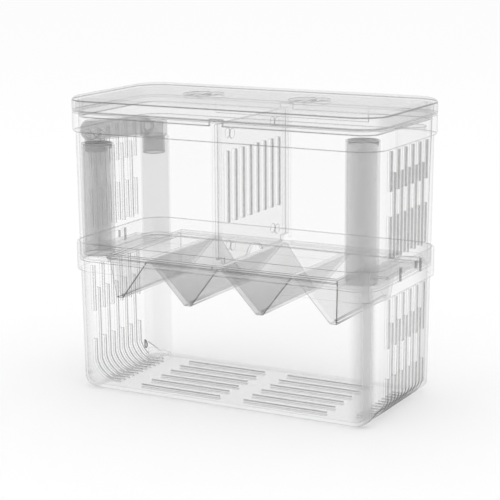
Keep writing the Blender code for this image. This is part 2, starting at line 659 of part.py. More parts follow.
def trough_drain(name, centre):
    half_length = TROUGH_HALF_DEPTH_LOW - DRAIN_END_MARGIN
    return box_object(name, (centre - DRAIN_WIDTH / 2, -half_length, TROUGH_BOTTOM - CUT_OVERRUN),
                      (centre + DRAIN_WIDTH / 2, half_length,
                       TROUGH_BOTTOM + TROUGH_WALL + CUT_OVERRUN))


def tray_notches():
    """Corner notches round the tubes, and small ones for the divider's rails."""
    source = bmesh.new()
    for side_x in SIDES:
        for side_y in SIDES:
            xs = sorted((side_x * TUBE_NOTCH_X, side_x * LENGTH / 2))
            ys = sorted((side_y * TUBE_NOTCH_Y, side_y * DEPTH / 2))
            add_box(source, (xs[0], ys[0], TRAY_BOTTOM - CUT_OVERRUN),
                    (xs[1], ys[1], TRAY_TOP + CUT_OVERRUN))
    inner = edges_along(source, 2, lambda middle: abs(middle.x) < LENGTH / 2 - CUT_OVERRUN
                        and abs(middle.y) < DEPTH / 2 - CUT_OVERRUN)
    round_edges(source, inner, TUBE_NOTCH_CORNER, TUBE_NOTCH_SEGMENTS)
    rail_half = DIVIDER_THICKNESS / 2 + RUNNING_GAP + RAIL_WIDTH + RUNNING_GAP
    for side_y in SIDES:
        ys = sorted((side_y * (RAIL_REACH_Y - RUNNING_GAP), side_y * DEPTH / 2))
        add_box(source, (-rail_half, ys[0], TRAY_BOTTOM - CUT_OVERRUN),
                (rail_half, ys[1], TRAY_TOP + CUT_OVERRUN))
    return add_object("tray_notches_cut", source)


def build_tray():
    tray = add_object("v_tray", rounded_block(
        UPPER_INNER_HALF_LENGTH - TRAY_EDGE_GAP, UPPER_INNER_HALF_DEPTH - TRAY_EDGE_GAP,
        TRAY_BOTTOM, TRAY_TOP, TRAY_CORNER), plastic("v_tray_plastic"))
    cut(tray, tray_notches())
    body_top = TRAY_BOTTOM + TRAY_PLATE / 2
    inside_bottom = TROUGH_BOTTOM + TROUGH_WALL
    layout = trough_layout()
    for index, (centre, left, right) in enumerate(layout):
        profile = trough_profile(centre, left, right, body_top, TROUGH_FLAT / 2, TROUGH_BOTTOM)
        join(tray, trough_prism(f"trough_join_{index}", profile, TROUGH_HALF_DEPTH,
                                TROUGH_HALF_DEPTH_LOW, TROUGH_BOTTOM))
    for index, (centre, left, right) in enumerate(layout):
        left_edge = TROUGH_WALL if index == 0 else RIDGE_WIDTH / 2
        right_edge = TROUGH_WALL if index == len(layout) - 1 else RIDGE_WIDTH / 2
        profile = trough_profile(centre, left + left_edge, right - right_edge,
                                 TRAY_TOP + RUNNING_GAP, DRAIN_WIDTH / 2, inside_bottom)
        cut(tray, trough_prism(f"trough_hollow_cut_{index}", profile,
                               TROUGH_HALF_DEPTH - TROUGH_WALL,
                               TROUGH_HALF_DEPTH_LOW - TROUGH_WALL, inside_bottom))
        cut(tray, trough_drain(f"trough_drain_cut_{index}", centre))


def build_divider():
    half = DIVIDER_THICKNESS / 2
    plate = box_object("divider_plate", (-half, -DIVIDER_HALF_DEPTH, DIVIDER_BOTTOM),
                       (half, DIVIDER_HALF_DEPTH, DIVIDER_TOP), plastic("divider_plate_plastic"))
    source = bmesh.new()
    for side in SIDES:
        ys = sorted((side * (DIVIDER_HALF_DEPTH - DIVIDER_SHOULDER_WIDTH),
                     side * (DIVIDER_HALF_DEPTH + CUT_OVERRUN)))
        add_box(source, (-half - CUT_OVERRUN, ys[0], DIVIDER_BOTTOM - CUT_OVERRUN),
                (half + CUT_OVERRUN, ys[1], DIVIDER_BOTTOM + DIVIDER_SHOULDER_RISE))
    cut(plate, add_object("divider_shoulder_cut", source))
    outer_y = DIVIDER_HALF_DEPTH - DIVIDER_SLIT_SIDE_MARGIN
    places = columns(DIVIDER_SLITS, 2 * outer_y / (DIVIDER_SLITS - 1))
    spans = spans_at(places, DIVIDER_BOTTOM, DIVIDER_TOP, DIVIDER_SLIT_SHARES)
    cut(plate, through_slits("divider_slits_cut", spans, DIVIDER_SLIT_WIDTH,
                             half + CUT_OVERRUN))
    arch = bmesh.new()
    arch_z = DIVIDER_BOTTOM + DIVIDER_ARCH_RISE - DIVIDER_ARCH_RADIUS
    rod_along_x(arch, DIVIDER_ARCH_RADIUS, half + CUT_OVERRUN, (0.0, DIVIDER_ARCH_Y, arch_z),
                ROUND_SEGMENTS)
    cut(plate, add_object("divider_arch_cut", arch))
    studs = bmesh.new()
    for side in SIDES:
        for z in (DIVIDER_BOTTOM + STUD_FOOT_MARGIN, DIVIDER_TOP - STUD_TOP_MARGIN):
            place = (0.0, side * (DIVIDER_HALF_DEPTH - STUD_SIDE_MARGIN), z)
            rod_along_x(studs, STUD_RADIUS, half + STUD_PROUD, place, STUD_SEGMENTS)
    join(plate, add_object("divider_studs_join", studs))


def build_tube(name, radius, bottom, top, place):
    tube = add_object(name, cylinder(radius, bottom, top, place), grey_plastic(name + "_plastic"))
    bore = add_object(name + "_bore_cut", cylinder(
        radius - TUBE_WALL, bottom - CUT_OVERRUN, top + CUT_OVERRUN, place))
    cut(tube, bore)
    return tube


def build_tubes():
    for name, radius, place, top in standing_tubes():
        build_tube(name, radius, TUBE_FOOT, top, place)
    riser = build_tube("riser_tube", BACK_TUBE_RADIUS, RISER_FOOT, RISER_TOP,
                       (-BACK_TUBE_X, BACK_TUBE_Y))
    combine(riser, lower_inside("riser_trim", RUNNING_GAP, HEIGHT), "INTERSECT")
    centre = Vector((-BACK_TUBE_X, BACK_TUBE_Y, RISER_FOOT + RISER_INLET_RISE))
    facing = Matrix.Rotation(RISER_INLET_TURN, 4, "Z") @ Matrix.Rotation(QUARTER_TURN, 4, "Y")
    place = Matrix.Translation(centre + facing @ Vector((0.0, 0.0, -BACK_TUBE_RADIUS))) @ facing
    inlet = bmesh.new()
    bmesh.ops.create_cone(inlet, cap_ends=True, segments=INLET_SEGMENTS,
                          radius1=RISER_INLET_RADIUS, radius2=RISER_INLET_RADIUS,
                          depth=BACK_TUBE_RADIUS, matrix=place)
    cut(riser, add_object("riser_inlet_cut", inlet))


def sloping_run(radius, start, end, near_edge, dome_share):
    """Cylinder between two points, with a softened near end and a domed far end."""
    start, end = Vector(start), Vector(end)
    along = end - start
    turn = along.to_track_quat("Z", "Y").to_matrix().to_4x4()
    source = bmesh.new()
    bmesh.ops.create_cone(source, cap_ends=True, segments=PIPE_SEGMENTS, radius1=radius,
                          radius2=radius, depth=along.length)
    half = along.length / 2
    for level, edge, segments in ((-half, near_edge, SMALL_EDGE_SEGMENTS),
                                  (half, radius * dome_share, PIPE_DOME_SEGMENTS)):
        if edge > 0.0:
            round_edges(source, edges_at_level(source, level), edge, segments)
    bmesh.ops.transform(source, matrix=Matrix.Translation((start + end) / 2) @ turn,
                        verts=source.verts)
    return source


def build_pipe():
    x = -BACK_TUBE_X - PIPE_SHIFT
    near_z = FRONT_LEFT_TOP + PIPE_NEAR_RISE
    far_z = RISER_TOP + PIPE_FAR_RISE
    slope = (far_z - near_z) / (BACK_TUBE_Y + FRONT_LEFT_Y)

    def on_axis(y):
        return (x, y, near_z + slope * (y + FRONT_LEFT_Y))

    near_y = PIPE_END_GAP - UPPER_INNER_HALF_DEPTH
    far_y = BACK_TUBE_Y - PIPE_FAR_SHORT
    pipe = add_object("bridge_pipe", sloping_run(
        PIPE_RUN_RADIUS, on_axis(near_y), on_axis(far_y), PIPE_END_EDGE, PIPE_DOME_SHARE),
        grey_plastic("bridge_pipe_plastic"))
    near_place = (x, -FRONT_LEFT_Y)
    far_place = (x, BACK_TUBE_Y)
    near_foot = FRONT_LEFT_TOP - NEAR_LEG_REACH
    far_foot = RISER_TOP - FAR_LEG_REACH
    head_bottom = RISER_TOP + RUNNING_GAP
    head_top = RISER_TOP + FAR_HEAD_HEIGHT
    join(pipe, add_object("near_leg_join", cylinder(
        NEAR_LEG_RADIUS, near_foot, near_z, near_place)))
    head = cylinder(FAR_HEAD_RADIUS, head_bottom, head_top, far_place)
    round_edges(head, edges_at_level(head, head_top), FAR_HEAD_EDGE, SMALL_EDGE_SEGMENTS)
    join(pipe, add_object("far_head_join", head))
    join(pipe, add_object("far_leg_join", cylinder(
        FAR_LEG_RADIUS, far_foot, (head_bottom + head_top) / 2, far_place)))
    cut(pipe, add_object("run_bore_cut", sloping_run(
        PIPE_RUN_RADIUS - PIPE_WALL, on_axis(near_y + PIPE_WALL), on_axis(far_y - PIPE_WALL),
        0.0, PIPE_DOME_SHARE)))
    cut(pipe, add_object("near_leg_bore_cut", cylinder(
        NEAR_LEG_RADIUS - PIPE_WALL, near_foot - CUT_OVERRUN, near_z, near_place)))
    cut(pipe, add_object("far_leg_bore_cut", cylinder(
        FAR_LEG_RADIUS - PIPE_WALL, far_foot - CUT_OVERRUN, head_top - PIPE_WALL, far_place)))
    cut(pipe, add_object("link_bore_cut", sloping_run(
        PIPE_LINK_RADIUS, on_axis(far_y - PIPE_RUN_RADIUS), on_axis(BACK_TUBE_Y), 0.0, 0.0)))


build_lower_box()
build_upper_box()
build_lid()
build_tray()
build_divider()
build_tubes()
build_pipe()
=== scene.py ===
"""Fish breeding box in clear plastic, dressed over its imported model.

Every moulded piece is made again with finer curves, softened edges and the see-through plastic
of the real box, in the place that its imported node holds. Lengths are in metres, +Z up.
"""
import math

import bmesh
import bpy
from mathutils import Matrix, Vector


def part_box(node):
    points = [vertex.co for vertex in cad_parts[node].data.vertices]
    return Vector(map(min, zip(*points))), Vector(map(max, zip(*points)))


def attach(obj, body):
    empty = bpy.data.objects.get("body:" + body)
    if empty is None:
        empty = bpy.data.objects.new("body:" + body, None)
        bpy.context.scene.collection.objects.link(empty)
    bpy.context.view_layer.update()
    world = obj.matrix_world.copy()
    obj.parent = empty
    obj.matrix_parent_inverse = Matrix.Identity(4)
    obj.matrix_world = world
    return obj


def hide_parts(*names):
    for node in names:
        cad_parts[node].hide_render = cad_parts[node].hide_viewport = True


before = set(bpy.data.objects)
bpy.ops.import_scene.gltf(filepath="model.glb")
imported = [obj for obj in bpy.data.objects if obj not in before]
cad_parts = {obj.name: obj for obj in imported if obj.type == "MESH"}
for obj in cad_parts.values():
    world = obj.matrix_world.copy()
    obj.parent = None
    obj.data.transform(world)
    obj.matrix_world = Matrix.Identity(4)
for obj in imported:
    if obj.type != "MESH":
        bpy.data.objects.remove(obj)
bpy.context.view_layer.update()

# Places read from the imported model
lid_low, lid_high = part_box("lid")
upper_low, upper_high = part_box("upper_box")
lower_low, lower_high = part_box("lower_box")
tray_low, tray_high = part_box("v_tray")
divider_low, divider_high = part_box("divider_plate")
pipe_low, pipe_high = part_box("bridge_pipe")
LENGTH = lid_high.x - lid_low.x
DEPTH = lid_high.y - lid_low.y
HEIGHT = lid_high.z

# General values
SIDES = (-1, 1)
OVERRUN = 0.004
GAP = 0.0003
LEVEL_TOLERANCE = 0.000001
CORNER_STEPS = 14
EDGE_STEPS = 4
FINE_EDGE_STEPS = 6
SMALL_EDGE_STEPS = 2
SLIT_END_STEPS = 4
SLIT_ROUND_SHARE = 0.98
TUBE_STEPS = 64
STUD_STEPS = 32
SOFT_EDGE = 0.00042
SOFT_EDGE_STEPS = 2
QUARTER_TURN = math.radians(90.0)
PARALLEL_LIMIT = math.radians(5.0)
SOFTEN_ANGLE = math.radians(32.0)
SHARP_ANGLE = math.radians(60.0)

# Lower box and its collar
COLLAR_HEIGHT = 0.0137
COLLAR_CORNER = 0.0132
COLLAR_WALL = 0.0013
COLLAR_EDGE = 0.0006
COLLAR_STEP = 0.0016
LOWER_WALL = 0.0016
LOWER_FLOOR = 0.0017
LOWER_DRAFT_LENGTH = 0.0005
LOWER_DRAFT_DEPTH = 0.0010
LOWER_CORNER = 0.0118
LOWER_INNER_CORNER = 0.0092
LOWER_BASE_RADIUS = 0.0048
LOWER_END_CURVE = 0.0125
END_CURVE_EASE = 0.0003
END_CURVE_STEPS = 14
STRAP_SLOT_Y = 0.0115
STRAP_SLOT_WIDTH = 0.0016
STRAP_SLOT_FOOT = 0.0006
STRAP_SLOT_HEAD = 0.0019
CATCH_WINDOW_HALF_WIDTH = 0.0070
CATCH_WINDOW_HEAD = 0.0023
CATCH_WINDOW_HEIGHT = 0.0037
CATCH_MARGIN = 0.0005
CATCH_PROUD = 0.0002
WINDOW_CORNER = 0.0005
WINDOW_CORNER_STEPS = 3

# Upper box
UPPER_WALL = 0.0017
UPPER_FLOOR = 0.0017
UPPER_DRAFT = 0.0006
UPPER_INNER_CORNER = 0.0092
UPPER_BASE_RADIUS = 0.0025
RIM_HEIGHT = 0.0096
RIM_PROUD = 0.0014
RIM_NOTCH_HALF_WIDTH = 0.0410
RIM_NOTCH_RISE = 0.0029
FLOOR_OPENING_GAP = 0.0005

# Slits in both boxes' ends, and slots in the lower floor
SLIT_WIDTH = 0.0016
SLIT_SIDE_MARGIN = 0.0168
PAIR_COLUMNS = 6
LONG_COLUMNS = 5
UPPER_PAIR_TOP_SHARES = (0.691, 0.987)
UPPER_PAIR_LOW_SHARES = (0.203, 0.510)
UPPER_LONG_SHARES = (0.187, 0.825)
LOWER_PAIR_TOP_SHARES = (0.589, 0.981)
LOWER_PAIR_LOW_TOP_SHARE = 0.350
LOWER_LONG_TOP_SHARE = 0.780
WRAP_RUN = 0.0153
FLOOR_SLOT_WIDTH = 0.0020
FLOOR_SLOT_ROWS = 6
FLOOR_SLOT_SIDE_MARGIN = 0.0127
FLOOR_SLOT_INNER_X = 0.0062
FLOOR_SLOT_END_MARGIN = 0.0138

# Lid
LID_PLATE = 0.0020
LID_SKIRT = 0.0018
LID_CORNER = 0.0136
LID_EDGE_RADIUS = 0.0026
LID_INNER_EDGE_RADIUS = 0.0013
LIP_WALL = 0.0014
LIP_GAP = 0.0004
LIP_NOTCH_HALF_WIDTH = 0.0030
GRIP_HOLE_RADIUS = 0.0097
GRIP_HOLE_X = 0.0277
GRIP_HOLE_Y = 0.0030
GRIP_BAR_WIDTH = 0.0020

# Tubes
TUBE_WALL = 0.0007
SPIGOT_HEIGHT = 0.0030
SPIGOT_WALL = 0.0010
RISER_RING_HEIGHT = 0.0012
RISER_INLET_RADIUS = 0.0022
RISER_INLET_RISE = 0.0063
RISER_INLET_TURN = math.radians(45.0)

# Bridge pipe
PIPE_WALL = 0.0008
PIPE_RUN_RADIUS = 0.0050
PIPE_NEAR_RISE = 0.0061
PIPE_FAR_RISE = 0.0054
PIPE_END_GAP = 0.0013
PIPE_END_EDGE = 0.0018
PIPE_FAR_SHORT = 0.0050
PIPE_DOME_SHARE = 0.92
PIPE_DOME_STEPS = 8
PIPE_LINK_RADIUS = 0.0024
NEAR_LEG_RADIUS = 0.0053
NEAR_LEG_REACH = 0.0040
FAR_LEG_RADIUS = 0.0056
FAR_LEG_REACH = 0.0083
FAR_HEAD_RADIUS = 0.0068
FAR_HEAD_HEIGHT = 0.0079
FAR_HEAD_EDGE = 0.0010

# Tray
TRAY_PLATE = 0.0017
TRAY_CORNER = 0.0020
TROUGH_TUBE_GAP = 0.0009
OUTER_TROUGH_WIDTH = 0.0219
OUTER_TROUGH_FOOT = 0.0036
RIDGE_WIDTH = 0.0012
TROUGH_FLAT = 0.0034
TROUGH_WALL = 0.0014
TROUGH_SIDE_MARGIN = 0.0019
TROUGH_DEPTH_DRAFT = 0.0032
DRAIN_WIDTH = 0.0016
DRAIN_END_MARGIN = 0.0035
TUBE_NOTCH_CORNER = 0.0030
TUBE_NOTCH_STEPS = 6

# Divider and its rails
DIVIDER_THICKNESS = 0.0018
DIVIDER_SHOULDER_WIDTH = 0.0053
DIVIDER_SHOULDER_RISE = 0.0028
DIVIDER_SLITS = 8
DIVIDER_SLIT_SIDE_MARGIN = 0.0098
DIVIDER_SLIT_WIDTH = 0.0022
DIVIDER_SLIT_SHARES = (0.282, 0.795)
DIVIDER_ARCH_RADIUS = 0.0076
DIVIDER_ARCH_RISE = 0.0040
DIVIDER_ARCH_Y = 0.0013
STUD_RADIUS = 0.0025
STUD_PROUD = 0.0005
STUD_SIDE_MARGIN = 0.0128
STUD_FOOT_MARGIN = 0.0075
STUD_TOP_MARGIN = 0.0058
RAIL_WIDTH = 0.0012
RAIL_DEPTH = 0.0011
RAIL_RISE = 0.0016
RAIL_SINK = 0.0008

# Sizes and levels that follow from the ones above
COLLAR_HALF_LENGTH = lower_high.x
COLLAR_HALF_DEPTH = lower_high.y
LOWER_HALF_LENGTH = COLLAR_HALF_LENGTH - COLLAR_STEP
LOWER_HALF_DEPTH = COLLAR_HALF_DEPTH - COLLAR_STEP
COLLAR_BOTTOM = lower_high.z - COLLAR_HEIGHT
NEST_LEDGE = upper_low.z - GAP
WINDOW_TOP = lower_high.z - CATCH_WINDOW_HEAD
WINDOW_BOTTOM = WINDOW_TOP - CATCH_WINDOW_HEIGHT
UPPER_HALF_LENGTH = upper_high.x - RIM_PROUD
UPPER_HALF_DEPTH = upper_high.y - RIM_PROUD
UPPER_CORNER = COLLAR_CORNER - COLLAR_WALL - GAP
UPPER_INNER_HALF_LENGTH = UPPER_HALF_LENGTH - UPPER_DRAFT - UPPER_WALL
UPPER_INNER_HALF_DEPTH = UPPER_HALF_DEPTH - UPPER_DRAFT - UPPER_WALL
UPPER_FLOOR_TOP = upper_low.z + UPPER_FLOOR
RIM_BOTTOM = upper_high.z - RIM_HEIGHT
LID_BOTTOM = upper_high.z + GAP
FLOOR_WRAP_X = LOWER_HALF_LENGTH - WRAP_RUN
SLIT_PITCH = 2 * (LOWER_HALF_DEPTH - SLIT_SIDE_MARGIN) / (PAIR_COLUMNS - 1)
TRAY_BOTTOM = tray_high.z - TRAY_PLATE
RAIL_REACH_Y = UPPER_INNER_HALF_DEPTH - RAIL_DEPTH


def middle_of(node):
    low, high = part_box(node)
    return (low + high) / 2


def radius_of(node):
    low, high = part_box(node)
    return (high.x - low.x) / 2


RISER_PLACE = middle_of("back_right_tube") * Vector((-1.0, 1.0, 1.0))
BACK_TUBE_RADIUS = radius_of("back_right_tube")
TROUGH_END_X = (middle_of("front_right_tube").x - radius_of("front_right_tube")
                - TROUGH_TUBE_GAP)
RIDGE_X = TROUGH_END_X - OUTER_TROUGH_WIDTH
TROUGH_HALF_DEPTH = UPPER_INNER_HALF_DEPTH - TROUGH_SIDE_MARGIN
TROUGH_HALF_DEPTH_LOW = TROUGH_HALF_DEPTH - TROUGH_DEPTH_DRAFT
TUBE_NOTCH_X = TROUGH_END_X + FLOOR_OPENING_GAP
TUBE_NOTCH_Y = RISER_PLACE.y - BACK_TUBE_RADIUS - GAP

# Camera fitted to the photograph
CAMERA_PLACE = (0.36050, -0.67290, 0.22912)
CAMERA_AZIMUTH = math.radians(28.302)
CAMERA_ELEVATION = math.radians(11.938)
CAMERA_ROLL = math.radians(-0.346)
CAMERA_LENS = 119.54
CAMERA_SENSOR = 36.0

# Flow marks of moulded plastic
FLOW_SCALE = 42.0
FLOW_DETAIL = 2.0
FLOW_HAZE_SHARES = (0.7, 1.4)
FLOW_BUMP_STRENGTH = 0.12
FLOW_BUMP_HEIGHT = 0.0006

# Which of a look's materials a face takes: 0 is the film
LINE_INDEX = 1
SHADE_INDEX = 2
CUT_INDEX = 3

# How far a face has to lean before it is shaded
SHADED_LEAN = 0.5
FRONT_LEAN = 0.8
SLOPE_LEAN = 0.35
LID_RIM_LEAN_LOW = 0.25
LID_RIM_LEAN_HIGH = 0.50

# How much of the soft edge each kind of edge gets
CUT_EDGE_SHARE = 0.14
TUBE_EDGE_SHARE = 0.70
RISER_EDGE_SHARE = 0.15

# Films: grey, cover face on, cover edge on, how late the cover rises, and roughness
UPPER_FILM = (0.50, 0.022, 0.70, 5.0, 0.10)
LOWER_FILM = (0.50, 0.012, 0.70, 5.0, 0.10)
LID_FILM = (0.54, 0.06, 0.58, 2.6, 0.12)
TRAY_FILM = (0.42, 0.075, 0.27, 2.2, 0.16)
DIVIDER_FILM = (0.50, 0.02, 0.45, 3.0, 0.10)
FRONT_TUBE_FILM = (0.40, 0.42, 0.12, 0.6, 0.28)
BACK_TUBE_FILM = (0.50, 0.012, 0.08, 2.0, 0.28)
RISER_FILM = (0.44, 0.09, 0.11, 2.0, 0.28)
PIPE_FILM = (0.38, 0.24, 0.30, 2.0, 0.22)

# Edge lines and shaded walls: grey and cover, both as shares
BOX_LINE_SHARES = (0.08, 0.50)
TUBE_LINE_SHARES = (0.10, 0.70)
LID_LINE_SHARES = (0.10, 0.55)
TRAY_LINE_SHARES = (0.05, 0.80)
DIVIDER_LINE_SHARES = (0.20, 0.45)
UPPER_SLIT_SHARES = (0.06, 0.54)
LOWER_SLIT_SHARES = (0.06, 0.56)
DIVIDER_SLIT_WALL_SHARES = (0.10, 0.65)
LID_RIM_SHADE_SHARES = (0.12, 0.68)
TROUGH_SHADE_SHARES = (0.28, 0.42)
FRONT_MOUTH_SHARES = (0.12, 0.55)
BACK_MOUTH_SHARES = (0.12, 0.15)
INLET_SHARES = (0.05, 0.85)

# What all films or all edge lines have alike
PLASTIC_IOR = 1.3
EVEN_BLEND = 0.5
LINE_ROUGHNESS = 0.2
GLINT_GREY = 0.98
GLINT_LEAN_LOW = 0.55
GLINT_LEAN_HIGH = 0.80

# Where films, lines and shades change along a piece, and by how much
UPPER_LEFT_SHARE = 0.25
SLIT_SHADE_START_SHARE = -0.25
SLIT_SHADE_FULL_SHARE = 0.125
FLOOR_SHADE_LOW = 0.0005
FLOOR_SHADE_HIGH = 0.0011
FRONT_TOP_SHARE = 0.62
OUTER_FRONT_SHARE = 0.12
OUTER_FRONT_EASE = 0.0005
HOLE_SHADE_SHARE = 0.18
BACK_LINE_SHARE = 0.35
WRAP_SHADE_SHARE = 0.45
WRAP_SHADE_EASE = 0.0017
MOUTH_SHADE_DEPTH = 0.0028
MOUTH_SHADE_EASE = 0.0008
INLET_SHADE_EASE = 0.000063
# Painted shade in the lower box's corners
CORNER_SHADE_SHARE = 0.46
BAND_START = 0.0135
BAND_MIDDLE = 0.0036
BAND_END = 0.0016
BAND_DEPTH = 0.0105
BAND_SIDE_EASE = 0.0016
OTHER_CORNER_SHARE = 0.30
RISER_FADE_LOW = 0.052
RISER_FADE_HIGH = 0.066
RISER_FADE_SHARE = 0.30

# Studio
TOP_LIGHT_PLACE = (0.1, -0.2, 1.6)
TOP_LIGHT_SIZE = 1.6
TOP_LIGHT_POWER = 1.2
SIDE_LIGHT_PLACE = (-0.9, -1.3, 0.9)
SIDE_LIGHT_SIZE = 1.2
SIDE_LIGHT_POWER = 0.8
FLOOR_HALF_SIZE = 6.0
FLOOR_COLOUR = (0.99, 0.99, 0.99)
FLOOR_ROUGHNESS = 0.9
WORLD_LIGHT = 0.98
LIGHT_BOUNCES = 64


def node_of(tree, kind, **settings):
    """Adds a node and sets its properties."""
    node = tree.nodes.new(kind)
    for name, value in settings.items():
        setattr(node, name, value)
    return node


def ramp(tree, source, low, high, to_low, to_high):
    """Smooth step of a value from one range to another."""
    node = node_of(tree, "ShaderNodeMapRange", interpolation_type="SMOOTHSTEP")
    for name, value in (("From Min", low), ("From Max", high), ("To Min", to_low),
                        ("To Max", to_high)):
        node.inputs[name].default_value = value
    tree.links.new(source, node.inputs["Value"])
    return node.outputs["Result"]


def worked_out(tree, operation, *values):
    """The outcome of a sum, product or other operation on values and sockets."""
    node = node_of(tree, "ShaderNodeMath", operation=operation)
    for socket, value in zip(node.inputs, values):
        if isinstance(value, (int, float)):
            socket.default_value = value
        else:
            tree.links.new(value, socket)
    return node.outputs[0]


def product(tree, value, *others):
    """Values and sockets multiplied in turn."""
    for other in others:
        value = worked_out(tree, "MULTIPLY", value, other)
    return value


def from_middle(tree, split, axis):
    """Distance from the middle of the box along an axis."""
    return worked_out(tree, "ABSOLUTE", split.outputs[axis])


def principled(name, colour):
    material = bpy.data.materials.new(name)
    material.use_nodes = True
    tree = material.node_tree
    shader = tree.nodes["Principled BSDF"]
    shader.inputs["Base Color"].default_value = (*colour, 1.0)
    return material, tree, shader


def flow_marks(tree, shader, roughness):
    """Faint unevenness of gloss and surface, as moulded plastic has."""
    place = node_of(tree, "ShaderNodeTexCoord")
    flow = node_of(tree, "ShaderNodeTexNoise")
    flow.inputs["Scale"].default_value = FLOW_SCALE
    flow.inputs["Detail"].default_value = FLOW_DETAIL
    tree.links.new(place.outputs["Object"], flow.inputs["Vector"])
    haze = ramp(tree, flow.outputs["Fac"], 0.0, 1.0, roughness * FLOW_HAZE_SHARES[0],
                roughness * FLOW_HAZE_SHARES[1])
    tree.links.new(haze, shader.inputs["Roughness"])
    ripple = node_of(tree, "ShaderNodeBump")
    ripple.inputs["Strength"].default_value = FLOW_BUMP_STRENGTH
    ripple.inputs["Distance"].default_value = FLOW_BUMP_HEIGHT
    tree.links.new(flow.outputs["Fac"], ripple.inputs["Height"])
    tree.links.new(ripple.outputs["Normal"], shader.inputs["Normal"])
    return place


def clear_plastic(name, grey, film_share, edge_share, edge_power, roughness, thicken=None):
    """See-through plastic: a faint film face on, closing up to grey where it turns away."""
    material, tree, shader = principled(name, (grey, grey, grey))
    shader.inputs["IOR"].default_value = PLASTIC_IOR
    place = flow_marks(tree, shader, roughness)
    turn = node_of(tree, "ShaderNodeLayerWeight")
    turn.inputs["Blend"].default_value = EVEN_BLEND
    rise = worked_out(tree, "POWER", turn.outputs["Facing"], edge_power)
    cover = worked_out(tree, "MULTIPLY_ADD", rise, edge_share - film_share, film_share)
    if thicken is not None:
        split = node_of(tree, "ShaderNodeSeparateXYZ")
        tree.links.new(place.outputs["Object"], split.inputs[0])
        cover = thicken(tree, cover, split)
    tree.links.new(cover, shader.inputs["Alpha"])
    return material


def spread_cover(tree, shader, place, share, spread):
    """Sets how much a grey covers. Spread gives how strong it is at each place."""
    split = node_of(tree, "ShaderNodeSeparateXYZ")
    tree.links.new(place.outputs["Object"], split.inputs[0])
    tree.links.new(product(tree, spread(tree, split), share), shader.inputs["Alpha"])


def line_plastic(name, grey, share, spread=None):
    """The closed grey that a rounded edge of clear plastic shows, with a painted white glint where
    it faces up.
    """
    material, tree, shader = principled(name, (grey, grey, grey))
    place = flow_marks(tree, shader, LINE_ROUGHNESS)
    surface = node_of(tree, "ShaderNodeNewGeometry")
    split = node_of(tree, "ShaderNodeSeparateXYZ")
    tree.links.new(surface.outputs["Normal"], split.inputs[0])
    glint_tone = ramp(tree, split.outputs["Z"], GLINT_LEAN_LOW, GLINT_LEAN_HIGH, grey, GLINT_GREY)
    tree.links.new(glint_tone, shader.inputs["Base Color"])
    shader.inputs["Alpha"].default_value = share
    if spread is not None:
        spread_cover(tree, shader, place, share, spread)
    return material


def shade_plastic(name, grey, share, spread):
    """The painted shade that the wall of a cut shows."""
    material, tree, shader = principled(name, (grey, grey, grey))
    place = flow_marks(tree, shader, LINE_ROUGHNESS)
    spread_cover(tree, shader, place, share, spread)
    return material


def towards(axis, low, high):
    """Rises from nothing to full strength along an axis."""
    def spread(tree, split):
        return ramp(tree, split.outputs[axis], low, high, 0.0, 1.0)
    return spread


def near_end(low, high, left_share=1.0):
    """Painted shade on slit walls: strongest at a box's ends, for the outer lip of each slit, and
    less at the left end.
    """
    def spread(tree, split):
        along = from_middle(tree, split, "X")
        side = ramp(tree, split.outputs["X"], -low, low, left_share, 1.0)
        return product(tree, ramp(tree, along, low, high, 0.0, 1.0), side)
    return spread


def near_end_or_floor(low, high):
    """Painted shade on slit walls: strongest at the lower box's ends, and at the upper lip of its
    floor slots.
    """
    def spread(tree, split):
        level = split.outputs["Z"]
        rise = ramp(tree, level, FLOOR_SHADE_LOW, FLOOR_SHADE_HIGH, 0.0, 1.0)
        fall = ramp(tree, level, LOWER_FLOOR, LOWER_FLOOR + FLOOR_SHADE_LOW, 1.0, 0.0)
        wrap = ramp(tree, from_middle(tree, split, "X"), FLOOR_WRAP_X - WRAP_SHADE_EASE,
                    FLOOR_WRAP_X, 1.0, WRAP_SHADE_SHARE)
        end = near_end(low, high)(tree, split)
        return worked_out(tree, "MAXIMUM", end, product(tree, rise, fall, wrap))
    return spread


def lid_rim_shade_spread(tree, split):
    """Painted shade, full at the lid's rounded rim, and faint in the grip holes' walls."""
    near_x = ramp(tree, from_middle(tree, split, "X"), GRIP_HOLE_X, LENGTH / 2 - LID_CORNER,
                  HOLE_SHADE_SHARE, 1.0)
    near_y = ramp(tree, from_middle(tree, split, "Y"), GRIP_HOLE_RADIUS + GRIP_HOLE_Y,
                  DEPTH / 2 - LID_CORNER, HOLE_SHADE_SHARE, 1.0)
    return worked_out(tree, "MAXIMUM", near_x, near_y)


def fades_back(tree, split):
    """Strong at the front of the tray and faint at its back."""
    return ramp(tree, split.outputs["Y"], -TROUGH_HALF_DEPTH, 0.0, 1.0, BACK_LINE_SHARE)


def trough_shade(tree, split):
    """Painted shade, darker towards the troughs' tips, and paler on the two outer troughs."""
    down = ramp(tree, split.outputs["Z"], tray_low.z, tray_high.z, 1.0, FRONT_TOP_SHARE)
    outer = ramp(tree, from_middle(tree, split, "X"), RIDGE_X, RIDGE_X + OUTER_FRONT_EASE, 1.0,
                 OUTER_FRONT_SHARE)
    return product(tree, down, outer)


